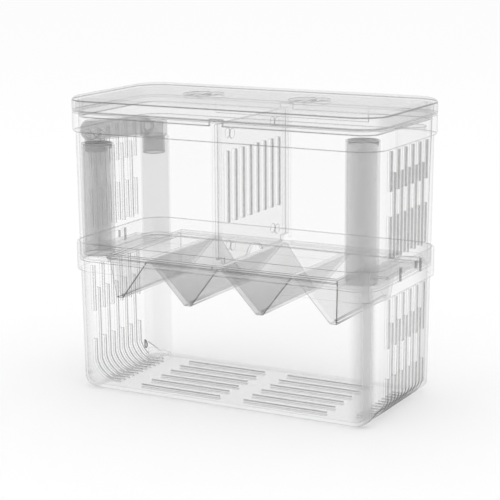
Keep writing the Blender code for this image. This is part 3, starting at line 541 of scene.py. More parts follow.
def painted_corner_shade(tree, cover, split):
    """Adds film in the lower box's thick corners as painted shade, most of all in the front right
    one.
    """
    along = from_middle(tree, split, "X")
    across = from_middle(tree, split, "Y")
    peak_x = LOWER_HALF_LENGTH - BAND_MIDDLE
    band = product(
        tree,
        ramp(tree, along, LOWER_HALF_LENGTH - BAND_START, peak_x, 0.0, 1.0),
        ramp(tree, along, peak_x, LOWER_HALF_LENGTH - BAND_END, 1.0, 0.0),
        ramp(tree, across, LOWER_HALF_DEPTH - BAND_DEPTH, LOWER_HALF_DEPTH - BAND_MIDDLE, 0.0,
             1.0),
        ramp(tree, split.outputs["X"], -BAND_SIDE_EASE, BAND_SIDE_EASE, OTHER_CORNER_SHARE, 1.0),
        ramp(tree, split.outputs["Y"], -BAND_SIDE_EASE, BAND_SIDE_EASE, 1.0, OTHER_CORNER_SHARE),
        CORNER_SHADE_SHARE)
    return worked_out(tree, "ADD", band, cover)


def fades_down(low, high, low_share, high_share):
    """Changes a film's strength from one level to another."""
    def thicken(tree, cover, split):
        level = ramp(tree, split.outputs["Z"], low, high, low_share, high_share)
        return product(tree, cover, level)
    return thicken


def mouth_shade(node, grey, share):
    """Painted shade inside a tube's mouth, seen through its open top."""
    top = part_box(node)[1].z - MOUTH_SHADE_DEPTH
    return shade_plastic(node + "_mouth_shade", grey, share, towards("Z", top, top + MOUTH_SHADE_EASE))


# Each look is a film, the line of its edges and the shade of its cut walls
END_LOW = LOWER_HALF_LENGTH - LOWER_DRAFT_LENGTH - LOWER_WALL / 2
BOX_LINE = line_plastic("box_line", *BOX_LINE_SHARES)
TUBE_LINE = line_plastic("tube_line", *TUBE_LINE_SHARES)
BOX_LOOK = (clear_plastic("upper_box_film", *UPPER_FILM), BOX_LINE,
            shade_plastic("upper_slit_shade", *UPPER_SLIT_SHARES,
                          near_end(END_LOW, LOWER_HALF_LENGTH, UPPER_LEFT_SHARE)))
# The lower box's film carries painted shade in its corners
LOWER_LOOK = (clear_plastic("lower_box_film", *LOWER_FILM, painted_corner_shade), BOX_LINE,
              shade_plastic("lower_slit_shade", *LOWER_SLIT_SHARES,
                            near_end_or_floor(END_LOW, LOWER_HALF_LENGTH)))
LID_LOOK = (clear_plastic("lid_film", *LID_FILM), line_plastic("lid_line", *LID_LINE_SHARES),
            shade_plastic("lid_rim_shade", *LID_RIM_SHADE_SHARES, lid_rim_shade_spread))
TRAY_LOOK = (clear_plastic("tray_film", *TRAY_FILM),
             line_plastic("tray_line", *TRAY_LINE_SHARES, fades_back),
             shade_plastic("trough_shade", *TROUGH_SHADE_SHARES, trough_shade))
DIVIDER_LOOK = (clear_plastic("divider_film", *DIVIDER_FILM),
                line_plastic("divider_line", *DIVIDER_LINE_SHARES),
                shade_plastic("divider_slit_shade", *DIVIDER_SLIT_WALL_SHARES,
                              towards("X", DIVIDER_THICKNESS * SLIT_SHADE_START_SHARE,
                                      DIVIDER_THICKNESS * SLIT_SHADE_FULL_SHARE)))
FRONT_TUBE_PLASTIC = clear_plastic("front_tube_film", *FRONT_TUBE_FILM)
FRONT_LEFT_LOOK = (FRONT_TUBE_PLASTIC, TUBE_LINE,
                   mouth_shade("front_left_tube", *FRONT_MOUTH_SHARES))
FRONT_RIGHT_LOOK = (FRONT_TUBE_PLASTIC, TUBE_LINE,
                    mouth_shade("front_right_tube", *FRONT_MOUTH_SHARES))
BACK_TUBE_LOOK = (clear_plastic("back_tube_film", *BACK_TUBE_FILM), BOX_LINE,
                  mouth_shade("back_right_tube", *BACK_MOUTH_SHARES))
INLET_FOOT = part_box("riser_tube")[0].z + RISER_INLET_RISE - RISER_INLET_RADIUS
RISER_LOOK = (clear_plastic("riser_film", *RISER_FILM,
                            fades_down(RISER_FADE_LOW, RISER_FADE_HIGH, RISER_FADE_SHARE, 1.0)),
              BOX_LINE,
              shade_plastic("inlet_shade", *INLET_SHARES,
                            towards("Z", INLET_FOOT, INLET_FOOT + INLET_SHADE_EASE)))
PIPE_LOOK = (clear_plastic("pipe_film", *PIPE_FILM), TUBE_LINE, BOX_LINE)


def fill_slots(mesh, look):
    """Gives a mesh its look, and the film once more for the cut walls that aren't shaded."""
    for material in (*look, look[0]):
        mesh.materials.append(material)


def loose(source):
    """A passing object for a shape, to carry or be a modifier's tool."""
    mesh = bpy.data.meshes.new("passing")
    bmesh.ops.recalc_face_normals(source, faces=source.faces)
    source.to_mesh(mesh)
    source.free()
    fill_slots(mesh, BOX_LOOK)
    obj = bpy.data.objects.new("passing", mesh)
    bpy.context.scene.collection.objects.link(obj)
    return obj


def worked(base, steps):
    """Joins, cuts and trims a shape in turn, and returns the result as a new shape."""
    target = loose(base)
    tools = []
    for operation, shape in steps:
        tools.append(loose(shape))
        modifier = target.modifiers.new("step", "BOOLEAN")
        modifier.operation = operation
        modifier.object = tools[-1]
    ready = target.evaluated_get(bpy.context.evaluated_depsgraph_get())
    result = bmesh.new()
    result.from_mesh(ready.to_mesh())
    ready.to_mesh_clear()
    for obj in [target, *tools]:
        mesh = obj.data
        bpy.data.objects.remove(obj)
        bpy.data.meshes.remove(mesh)
    return result


def shaded(source):
    """Marks a cutter's faces, so that the back wall of each slit that it cuts is shaded."""
    bmesh.ops.recalc_face_normals(source, faces=source.faces)
    for face in source.faces:
        face.material_index = SHADE_INDEX if face.normal.y > SHADED_LEAN else CUT_INDEX
    return source


def shade_back(source):
    """Marks the back half of a round cutter, for the side of the hole that the front shows."""
    bmesh.ops.recalc_face_normals(source, faces=source.faces)
    for face in source.faces:
        if face.normal.y > 0.0:
            face.material_index = SHADE_INDEX
    return source


def set_index(source, index):
    for face in source.faces:
        face.material_index = index
    return source


def weigh_edges(source, share):
    """Gives each outward edge its share of the soft edge, and less to the edges of slits."""
    weight = source.edges.layers.float.new("bevel_weight_edge")
    source.normal_update()
    for edge in source.edges:
        if len(edge.link_faces) != 2 or edge.calc_face_angle_signed(0.0) < SOFTEN_ANGLE:
            continue
        cut = any(face.material_index == CUT_INDEX for face in edge.link_faces)
        cut = cut or all(face.material_index == SHADE_INDEX for face in edge.link_faces)
        edge[weight] = share * (CUT_EDGE_SHARE if cut else 1.0)


def finished(name, source, look, node, edge_share=1.0):
    """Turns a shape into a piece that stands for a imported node, with softened, lined edges."""
    weigh_edges(source, edge_share)
    mesh = bpy.data.meshes.new(name)
    source.to_mesh(mesh)
    source.free()
    piece = bpy.data.objects.new(name, mesh)
    bpy.context.scene.collection.objects.link(piece)
    fill_slots(mesh, look)
    mesh.shade_smooth()
    soften = piece.modifiers.new("soft_edges", "BEVEL")
    soften.width = SOFT_EDGE
    soften.segments = SOFT_EDGE_STEPS
    soften.limit_method = "WEIGHT"
    soften.use_clamp_overlap = False
    soften.material = LINE_INDEX
    mesh.set_sharp_from_angle(angle=SHARP_ANGLE)
    even = piece.modifiers.new("even_normals", "WEIGHTED_NORMAL")
    even.keep_sharp = True
    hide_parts(node)
    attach(piece, node)


def edges_along(source, axis, keep=lambda middle: True):
    """Straight edges along an axis (0, 1 or 2) whose middle passes the test."""
    found = []
    for edge in source.edges:
        run = edge.verts[1].co - edge.verts[0].co
        middle = (edge.verts[1].co + edge.verts[0].co) / 2
        if abs(run[axis]) > run.length * math.cos(PARALLEL_LIMIT) and keep(middle):
            found.append(edge)
    return found


def edges_at_level(source, level):
    return [edge for edge in source.edges
            if all(math.isclose(vert.co.z, level, abs_tol=LEVEL_TOLERANCE) for vert in edge.verts)]


def round_edges(source, edges, radius, steps):
    bmesh.ops.bevel(source, geom=edges, offset=radius, segments=steps, profile=0.5,
                    affect="EDGES", material=-1)


def add_box(source, low, high):
    low, high = Vector(low), Vector(high)
    place = Matrix.Translation((low + high) / 2) @ Matrix.Diagonal((*(high - low), 1.0))
    bmesh.ops.create_cube(source, size=1.0, matrix=place)


def box_shape(low, high):
    source = bmesh.new()
    add_box(source, low, high)
    return source


def rounded_block(half_length, half_depth, bottom, top, corner, draft=(0.0, 0.0),
                  base_radius=0.0, top_radius=0.0, edge_steps=EDGE_STEPS):
    """Block with upright rounded corners. Draft is how much each half size shrinks at the base."""
    block = box_shape((-half_length, -half_depth, bottom), (half_length, half_depth, top))
    round_edges(block, edges_along(block, 2), corner, CORNER_STEPS)
    for vert in block.verts:
        if vert.co.z < (bottom + top) / 2:
            vert.co.x *= (half_length - draft[0]) / half_length
            vert.co.y *= (half_depth - draft[1]) / half_depth
    for level, radius in ((bottom, base_radius), (top, top_radius)):
        if radius > 0.0:
            round_edges(block, edges_at_level(block, level), radius, edge_steps)
    return block


def cylinder(radius, bottom, top, centre, steps=TUBE_STEPS):
    solid = bmesh.new()
    place = Matrix.Translation((centre[0], centre[1], (bottom + top) / 2))
    bmesh.ops.create_cone(solid, cap_ends=True, segments=steps, radius1=radius, radius2=radius,
                          depth=top - bottom, matrix=place)
    return solid


def rod_along_x(source, radius, half_length, place, steps):
    """Adds a cylinder that lies along X, centred on a place."""
    lie = Matrix.Translation(place) @ Matrix.Rotation(QUARTER_TURN, 4, "Y")
    bmesh.ops.create_cone(source, cap_ends=True, segments=steps, radius1=radius,
                          radius2=radius, depth=2 * half_length, matrix=lie)


def columns(count, pitch):
    return [(index - (count - 1) / 2) * pitch for index in range(count)]


def spans_at(places, bottom, top, shares):
    """A list of (y, bottom, top), with the levels as shares of a wall's height."""
    low = bottom + (top - bottom) * shares[0]
    high = bottom + (top - bottom) * shares[1]
    return [(y, low, high) for y in places]


def through_slits(spans, width, reach):
    """Round-ended slits cut along X: a list of (y, bottom, top)."""
    source = bmesh.new()
    for y, bottom, top in spans:
        add_box(source, (-reach, y - width / 2, bottom), (reach, y + width / 2, top))
    round_edges(source, edges_along(source, 0), width / 2 * SLIT_ROUND_SHARE, SLIT_END_STEPS)
    return shaded(source)


def wrapping_slits(spans, width, reach, inner_x):
    """Slits down each end wall and round onto the floor: a list of (y, top)."""
    source = bmesh.new()
    for side in SIDES:
        for y, top in spans:
            near, far = sorted((side * inner_x, side * reach))
            add_box(source, (near, y - width / 2, -OVERRUN), (far, y + width / 2, top))
    upper = edges_along(source, 0, lambda middle: middle.z > 0.0)
    inner = edges_along(source, 2, lambda middle: abs(middle.x) < (inner_x + reach) / 2)
    round_edges(source, upper + inner, width / 2 * SLIT_ROUND_SHARE, SLIT_END_STEPS)
    return shaded(source)


def floor_slots():
    source = bmesh.new()
    outer_y = LOWER_HALF_DEPTH - LOWER_WALL - FLOOR_SLOT_SIDE_MARGIN
    for side in SIDES:
        near, far = sorted((side * FLOOR_SLOT_INNER_X,
                            side * (FLOOR_WRAP_X - FLOOR_SLOT_END_MARGIN)))
        for y in columns(FLOOR_SLOT_ROWS, 2 * outer_y / (FLOOR_SLOT_ROWS - 1)):
            add_box(source, (near, y - FLOOR_SLOT_WIDTH / 2, -OVERRUN),
                    (far, y + FLOOR_SLOT_WIDTH / 2, LOWER_FLOOR + OVERRUN))
    round_edges(source, edges_along(source, 2), FLOOR_SLOT_WIDTH / 2 * SLIT_ROUND_SHARE,
                SLIT_END_STEPS)
    return shaded(source)


def collar_openings():
    source = bmesh.new()
    reach = LENGTH / 2 + OVERRUN
    for side in SIDES:
        near, far = sorted((side * (COLLAR_HALF_LENGTH - COLLAR_WALL - OVERRUN), side * reach))
        add_box(source, (near, -CATCH_WINDOW_HALF_WIDTH, WINDOW_BOTTOM),
                (far, CATCH_WINDOW_HALF_WIDTH, WINDOW_TOP))
        for y in (-STRAP_SLOT_Y, STRAP_SLOT_Y):
            add_box(source, (near, y - STRAP_SLOT_WIDTH / 2, NEST_LEDGE + STRAP_SLOT_FOOT),
                    (far, y + STRAP_SLOT_WIDTH / 2, lower_high.z - STRAP_SLOT_HEAD))
    round_edges(source, edges_along(source, 0), WINDOW_CORNER, WINDOW_CORNER_STEPS)
    return shaded(source)


def end_curve(half_length, half_depth, bottom, top, radius):
    """Keeps what lies above a curve from each end wall into the floor."""
    source = box_shape(
        (-half_length - END_CURVE_EASE, -half_depth - OVERRUN, bottom - END_CURVE_EASE),
        (half_length + END_CURVE_EASE, half_depth + OVERRUN, top + OVERRUN))
    for vert in source.verts:
        if vert.co.z < (bottom + top) / 2:
            vert.co.x -= math.copysign(LOWER_DRAFT_LENGTH, vert.co.x)
    ends = edges_along(source, 1, lambda middle: middle.z < (bottom + top) / 2)
    round_edges(source, ends, radius, END_CURVE_STEPS)
    return source


def lower_inside(gap, top):
    """The space inside the lower box, a gap clear of its walls and floor."""
    half_length = LOWER_HALF_LENGTH - LOWER_WALL - gap
    half_depth = LOWER_HALF_DEPTH - LOWER_WALL - gap
    bottom = LOWER_FLOOR + gap
    inside = rounded_block(half_length, half_depth, bottom, top, LOWER_INNER_CORNER - gap,
                           (LOWER_DRAFT_LENGTH, LOWER_DRAFT_DEPTH), LOWER_BASE_RADIUS - bottom)
    trim = end_curve(half_length, half_depth, bottom, top, LOWER_END_CURVE - LOWER_WALL - gap)
    return worked(inside, [("INTERSECT", trim)])


def ring_steps(tube_radius, floor_bottom, floor_top, height, bore_bottom, centre):
    """A low ring that a tube stands over, joined to a floor and bored."""
    outer = tube_radius - TUBE_WALL - GAP
    ring = cylinder(outer, (floor_bottom + floor_top) / 2, floor_top + height, centre)
    bore = cylinder(outer - SPIGOT_WALL, bore_bottom, floor_top + height + OVERRUN, centre)
    return [("UNION", set_index(ring, CUT_INDEX)), ("DIFFERENCE", set_index(bore, CUT_INDEX))]


def lower_box():
    pairs = columns(PAIR_COLUMNS, SLIT_PITCH)
    longs = columns(LONG_COLUMNS, SLIT_PITCH)
    reach = LENGTH / 2 + OVERRUN
    wrapping = [(y, COLLAR_BOTTOM * LOWER_PAIR_LOW_TOP_SHARE) for y in pairs]
    wrapping += [(y, COLLAR_BOTTOM * LOWER_LONG_TOP_SHARE) for y in longs]
    walls = rounded_block(LOWER_HALF_LENGTH, LOWER_HALF_DEPTH, 0.0, NEST_LEDGE, LOWER_CORNER,
                          (LOWER_DRAFT_LENGTH, LOWER_DRAFT_DEPTH), LOWER_BASE_RADIUS)
    steps = [
        ("INTERSECT", end_curve(LOWER_HALF_LENGTH, LOWER_HALF_DEPTH, 0.0, NEST_LEDGE,
                                LOWER_END_CURVE)),
        ("UNION", rounded_block(COLLAR_HALF_LENGTH, COLLAR_HALF_DEPTH, COLLAR_BOTTOM,
                                lower_high.z, COLLAR_CORNER, base_radius=COLLAR_EDGE,
                                top_radius=COLLAR_EDGE)),
        ("DIFFERENCE", rounded_block(COLLAR_HALF_LENGTH - COLLAR_WALL,
                                     COLLAR_HALF_DEPTH - COLLAR_WALL, NEST_LEDGE,
                                     lower_high.z + OVERRUN, COLLAR_CORNER - COLLAR_WALL)),
        ("DIFFERENCE", lower_inside(0.0, NEST_LEDGE + OVERRUN)),
    ]
    steps += ring_steps(BACK_TUBE_RADIUS, 0.0, LOWER_FLOOR, RISER_RING_HEIGHT, LOWER_FLOOR,
                        RISER_PLACE)
    steps += [
        ("DIFFERENCE", floor_slots()),
        ("DIFFERENCE", collar_openings()),
        ("DIFFERENCE", through_slits(spans_at(pairs, 0.0, COLLAR_BOTTOM, LOWER_PAIR_TOP_SHARES),
                                     SLIT_WIDTH, reach)),
        ("DIFFERENCE", wrapping_slits(wrapping, SLIT_WIDTH, reach, FLOOR_WRAP_X)),
    ]
    finished("lower_box_shell", worked(walls, steps), LOWER_LOOK, "lower_box")


def divider_rails():
    source = bmesh.new()
    inner = DIVIDER_THICKNESS / 2 + GAP
    for side_x in SIDES:
        for side_y in SIDES:
            xs = sorted((side_x * inner, side_x * (inner + RAIL_WIDTH)))
            ys = sorted((side_y * RAIL_REACH_Y,
                         side_y * (UPPER_INNER_HALF_DEPTH + RAIL_SINK)))
            add_box(source, (xs[0], ys[0], tray_high.z + RAIL_RISE),
                    (xs[1], ys[1], divider_high.z))
    return set_index(source, CUT_INDEX)


def catches():
    source = bmesh.new()
    for side in SIDES:
        outer = UPPER_HALF_LENGTH - UPPER_DRAFT
        near, far = sorted((side * (outer - UPPER_WALL / 2), side * (outer + CATCH_PROUD)))
        add_box(source, (near, CATCH_MARGIN - CATCH_WINDOW_HALF_WIDTH,
                         WINDOW_BOTTOM + CATCH_MARGIN),
                (far, CATCH_WINDOW_HALF_WIDTH - CATCH_MARGIN, WINDOW_TOP - CATCH_MARGIN))
    return set_index(source, CUT_INDEX)


def upper_box():
    draft = (UPPER_DRAFT, UPPER_DRAFT)
    rim = worked(
        rounded_block(UPPER_HALF_LENGTH + RIM_PROUD, UPPER_HALF_DEPTH + RIM_PROUD, RIM_BOTTOM,
                      upper_high.z, UPPER_CORNER + RIM_PROUD, base_radius=RIM_PROUD,
                      edge_steps=SMALL_EDGE_STEPS),
        [("DIFFERENCE", box_shape(
            (-RIM_NOTCH_HALF_WIDTH, UPPER_HALF_DEPTH, RIM_BOTTOM + RIM_NOTCH_RISE),
            (RIM_NOTCH_HALF_WIDTH, DEPTH, upper_high.z + OVERRUN)))])
    opening_x = TROUGH_END_X + FLOOR_OPENING_GAP
    opening_y = TROUGH_HALF_DEPTH + FLOOR_OPENING_GAP
    steps = [
        ("UNION", rim),
        ("DIFFERENCE", rounded_block(UPPER_HALF_LENGTH - UPPER_WALL,
                                     UPPER_HALF_DEPTH - UPPER_WALL, UPPER_FLOOR_TOP,
                                     upper_high.z + OVERRUN, UPPER_INNER_CORNER, draft)),
        ("UNION", divider_rails()),
        ("UNION", catches()),
        ("DIFFERENCE", box_shape((-opening_x, -opening_y, upper_low.z - OVERRUN),
                                 (opening_x, opening_y, UPPER_FLOOR_TOP + OVERRUN))),
    ]
    for node in ("front_left_tube", "front_right_tube", "back_right_tube"):
        steps += ring_steps(radius_of(node), upper_low.z, UPPER_FLOOR_TOP, SPIGOT_HEIGHT,
                            upper_low.z - OVERRUN, middle_of(node))
    steps.append(("DIFFERENCE", cylinder(
        BACK_TUBE_RADIUS + GAP, upper_low.z - OVERRUN, UPPER_FLOOR_TOP + OVERRUN, RISER_PLACE)))
    pairs = columns(PAIR_COLUMNS, SLIT_PITCH)
    spans = spans_at(pairs, upper_low.z, RIM_BOTTOM, UPPER_PAIR_TOP_SHARES)
    spans += spans_at(pairs, upper_low.z, RIM_BOTTOM, UPPER_PAIR_LOW_SHARES)
    spans += spans_at(columns(LONG_COLUMNS, SLIT_PITCH), upper_low.z, RIM_BOTTOM,
                      UPPER_LONG_SHARES)
    steps.append(("DIFFERENCE", through_slits(spans, SLIT_WIDTH, LENGTH / 2 + OVERRUN)))
    walls = rounded_block(UPPER_HALF_LENGTH, UPPER_HALF_DEPTH, upper_low.z, upper_high.z,
                          UPPER_CORNER, draft, UPPER_BASE_RADIUS)
    finished("upper_box_shell", worked(walls, steps), BOX_LOOK, "upper_box")


def grip_half_hole(side, half):
    """Half of a round hole beside the bar that crosses it."""
    source = cylinder(GRIP_HOLE_RADIUS, HEIGHT - LID_PLATE - OVERRUN, HEIGHT + OVERRUN,
                      (side * GRIP_HOLE_X, GRIP_HOLE_Y))
    cut_place = (side * GRIP_HOLE_X + half * GRIP_BAR_WIDTH / 2, GRIP_HOLE_Y, HEIGHT)
    sliced = bmesh.ops.bisect_plane(
        source, geom=source.verts[:] + source.edges[:] + source.faces[:],
        plane_co=cut_place, plane_no=(-half, 0.0, 0.0), clear_outer=True)
    rim = [item for item in sliced["geom_cut"] if isinstance(item, bmesh.types.BMEdge)]
    bmesh.ops.contextual_create(source, geom=rim)
    return shade_back(source)


def lid():
    half_length, half_depth = LENGTH / 2, DEPTH / 2
    plate_bottom = HEIGHT - LID_PLATE
    lip_half_length = UPPER_INNER_HALF_LENGTH + UPPER_DRAFT - LIP_GAP
    lip_half_depth = UPPER_INNER_HALF_DEPTH + UPPER_DRAFT - LIP_GAP
    lip_corner = UPPER_INNER_CORNER - LIP_GAP
    lip = worked(
        rounded_block(lip_half_length, lip_half_depth, lid_low.z, plate_bottom + LID_PLATE / 2,
                      lip_corner),
        [("DIFFERENCE", rounded_block(lip_half_length - LIP_WALL, lip_half_depth - LIP_WALL,
                                      lid_low.z - OVERRUN, HEIGHT, lip_corner - LIP_WALL)),
         ("DIFFERENCE", box_shape((-LIP_NOTCH_HALF_WIDTH, -half_depth, lid_low.z - OVERRUN),
                                  (LIP_NOTCH_HALF_WIDTH, half_depth, LID_BOTTOM)))])
    steps = [
        ("DIFFERENCE", rounded_block(half_length - LID_SKIRT, half_depth - LID_SKIRT,
                                     LID_BOTTOM - OVERRUN, plate_bottom,
                                     LID_CORNER - LID_SKIRT, top_radius=LID_INNER_EDGE_RADIUS)),
        ("UNION", lip),
    ]
    steps += [("DIFFERENCE", grip_half_hole(side, half)) for side in SIDES for half in SIDES]
    plate = rounded_block(half_length, half_depth, LID_BOTTOM, HEIGHT, LID_CORNER,
                          top_radius=LID_EDGE_RADIUS, edge_steps=FINE_EDGE_STEPS)
    shape = worked(plate, steps)
    shape.normal_update()
    # Painted shade on the faces of the rounded rim that lean part way up
    for face in shape.faces:
        if LID_RIM_LEAN_LOW < face.normal.z < LID_RIM_LEAN_HIGH:
            face.material_index = SHADE_INDEX
    finished("lid_cover", shape, LID_LOOK, "lid")


def trough_prism(profile, half_depth_top, half_depth_low, level_low):
    """Extrudes a section along Y and draws its lower edge in."""
    source = bmesh.new()
    face = source.faces.new([source.verts.new((x, -half_depth_top, z)) for x, z in profile])
    run = bmesh.ops.extrude_face_region(source, geom=[face])
    moved = [item for item in run["geom"] if isinstance(item, bmesh.types.BMVert)]
    bmesh.ops.translate(source, verts=moved, vec=(0.0, 2 * half_depth_top, 0.0))
    level_top = max(z for x, z in profile)
    for vert in source.verts:
        share = (level_top - vert.co.z) / (level_top - level_low)
        half_depth = half_depth_top + (half_depth_low - half_depth_top) * share
        vert.co.y = math.copysign(half_depth, vert.co.y)
    return source


def trough_profile(centre, left, right, top, half_flat, bottom):
    return ((left, top), (centre - half_flat, bottom), (centre + half_flat, bottom),
            (right, top))


def tray_notches():
    source = bmesh.new()
    bottom, top = TRAY_BOTTOM - OVERRUN, tray_high.z + OVERRUN
    for side_x in SIDES:
        for side_y in SIDES:
            xs = sorted((side_x * TUBE_NOTCH_X, side_x * LENGTH / 2))
            ys = sorted((side_y * TUBE_NOTCH_Y, side_y * DEPTH / 2))
            add_box(source, (xs[0], ys[0], bottom), (xs[1], ys[1], top))
    inner = edges_along(source, 2, lambda middle: abs(middle.x) < LENGTH / 2 - OVERRUN
                        and abs(middle.y) < DEPTH / 2 - OVERRUN)
    round_edges(source, inner, TUBE_NOTCH_CORNER, TUBE_NOTCH_STEPS)
    rail_half = DIVIDER_THICKNESS / 2 + GAP + RAIL_WIDTH + GAP
    for side_y in SIDES:
        ys = sorted((side_y * (RAIL_REACH_Y - GAP), side_y * DEPTH / 2))
        add_box(source, (-rail_half, ys[0], bottom), (rail_half, ys[1], top))
    return source


def tray():
    inner = RIDGE_X / 2
    outer = TROUGH_END_X - OUTER_TROUGH_FOOT
    layout = ((-outer, -TROUGH_END_X, -RIDGE_X), (-inner, -RIDGE_X, 0.0),
              (inner, 0.0, RIDGE_X), (outer, RIDGE_X, TROUGH_END_X))
    bottom = tray_low.z
    drain_half = TROUGH_HALF_DEPTH_LOW - DRAIN_END_MARGIN
    steps = [("DIFFERENCE", tray_notches())]
    for centre, left, right in layout:
        profile = trough_profile(centre, left, right, TRAY_BOTTOM + TRAY_PLATE / 2,
                                 TROUGH_FLAT / 2, bottom)
        steps.append(("UNION", trough_prism(profile, TROUGH_HALF_DEPTH, TROUGH_HALF_DEPTH_LOW,
                                            bottom)))
    for index, (centre, left, right) in enumerate(layout):
        left_edge = TROUGH_WALL if index == 0 else RIDGE_WIDTH / 2
        right_edge = TROUGH_WALL if index == len(layout) - 1 else RIDGE_WIDTH / 2
        profile = trough_profile(centre, left + left_edge, right - right_edge,
                                 tray_high.z + GAP, DRAIN_WIDTH / 2, bottom + TROUGH_WALL)
        steps.append(("DIFFERENCE", trough_prism(
            profile, TROUGH_HALF_DEPTH - TROUGH_WALL, TROUGH_HALF_DEPTH_LOW - TROUGH_WALL,
            bottom + TROUGH_WALL)))
        steps.append(("DIFFERENCE", box_shape(
            (centre - DRAIN_WIDTH / 2, -drain_half, bottom - OVERRUN),
            (centre + DRAIN_WIDTH / 2, drain_half, bottom + TROUGH_WALL + OVERRUN))))
    plate = rounded_block(tray_high.x, tray_high.y, TRAY_BOTTOM, tray_high.z, TRAY_CORNER)
    shape = worked(plate, steps)
    shape.normal_update()
    # Painted shade on the troughs' fronts and on the slopes that face +X
    for face in shape.faces:
        front = face.normal.y < -FRONT_LEAN and face.calc_center_median().y < 0.0
        slope = face.normal.x > SLOPE_LEAN and face.normal.z > SLOPE_LEAN
        if front or slope:
            face.material_index = SHADE_INDEX
    finished("v_tray_dressed", shape, TRAY_LOOK, "v_tray")


def divider():
    half = DIVIDER_THICKNESS / 2
    bottom = divider_low.z
    shoulders = bmesh.new()
    for side in SIDES:
        ys = sorted((side * (divider_high.y - DIVIDER_SHOULDER_WIDTH),
                     side * (divider_high.y + OVERRUN)))
        add_box(shoulders, (-half - OVERRUN, ys[0], bottom - OVERRUN),
                (half + OVERRUN, ys[1], bottom + DIVIDER_SHOULDER_RISE))
    arch = bmesh.new()
    rod_along_x(arch, DIVIDER_ARCH_RADIUS, half + OVERRUN,
                (0.0, DIVIDER_ARCH_Y, bottom + DIVIDER_ARCH_RISE - DIVIDER_ARCH_RADIUS),
                TUBE_STEPS)
    studs = bmesh.new()
    for side in SIDES:
        for level in (bottom + STUD_FOOT_MARGIN, divider_high.z - STUD_TOP_MARGIN):
            rod_along_x(studs, STUD_RADIUS, half + STUD_PROUD,
                        (0.0, side * (divider_high.y - STUD_SIDE_MARGIN), level), STUD_STEPS)
    outer_y = divider_high.y - DIVIDER_SLIT_SIDE_MARGIN
    spans = spans_at(columns(DIVIDER_SLITS, 2 * outer_y / (DIVIDER_SLITS - 1)), bottom,
                     divider_high.z, DIVIDER_SLIT_SHARES)
    plate = box_shape((-half, divider_low.y, bottom), (half, divider_high.y, divider_high.z))
    shape = worked(plate, [
        ("DIFFERENCE", shoulders),
        ("DIFFERENCE", through_slits(spans, DIVIDER_SLIT_WIDTH, half + OVERRUN)),
        ("DIFFERENCE", arch),
        ("UNION", studs),
    ])
    finished("divider_dressed", shape, DIVIDER_LOOK, "divider_plate")


def tube(node, look, centre, radius, edge_share):
    low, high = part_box(node)
    bore = cylinder(radius - TUBE_WALL, low.z - OVERRUN, high.z + OVERRUN, centre)
    if node == "riser_tube":
        steps = [("DIFFERENCE", bore),
                 ("INTERSECT", set_index(lower_inside(GAP, HEIGHT), CUT_INDEX)),
                 ("DIFFERENCE", riser_inlet(centre, low.z, radius))]
    else:
        steps = [("DIFFERENCE", shade_back(bore))]
    finished(node + "_dressed", worked(cylinder(radius, low.z, high.z, centre), steps), look,
             node, edge_share)


def riser_inlet(centre, foot, radius):
    """The round hole low in the riser's wall that lets the water in."""
    facing = (Matrix.Rotation(RISER_INLET_TURN, 4, "Z")
              @ Matrix.Rotation(QUARTER_TURN, 4, "Y"))
    place = Vector((centre.x, centre.y, foot + RISER_INLET_RISE))
    place += facing @ Vector((0.0, 0.0, -radius))
    inlet = bmesh.new()
    bmesh.ops.create_cone(inlet, cap_ends=True, segments=STUD_STEPS, radius1=RISER_INLET_RADIUS,
                          radius2=RISER_INLET_RADIUS, depth=radius,
                          matrix=Matrix.Translation(place) @ facing)
    return set_index(inlet, SHADE_INDEX)


def sloping_run(radius, start, end, near_edge, dome_share):
    """Cylinder between two points, with a softened near end and a domed far end."""
    start, end = Vector(start), Vector(end)
    along = end - start
    turn = along.to_track_quat("Z", "Y").to_matrix().to_4x4()
    source = bmesh.new()
    bmesh.ops.create_cone(source, cap_ends=True, segments=TUBE_STEPS, radius1=radius,
                          radius2=radius, depth=along.length)
    half = along.length / 2
    for level, edge, steps in ((-half, near_edge, EDGE_STEPS),
                               (half, radius * dome_share, PIPE_DOME_STEPS)):
        if edge > 0.0:
            round_edges(source, edges_at_level(source, level), edge, steps)
    bmesh.ops.transform(source, matrix=Matrix.Translation((start + end) / 2) @ turn,
                        verts=source.verts)
    return source


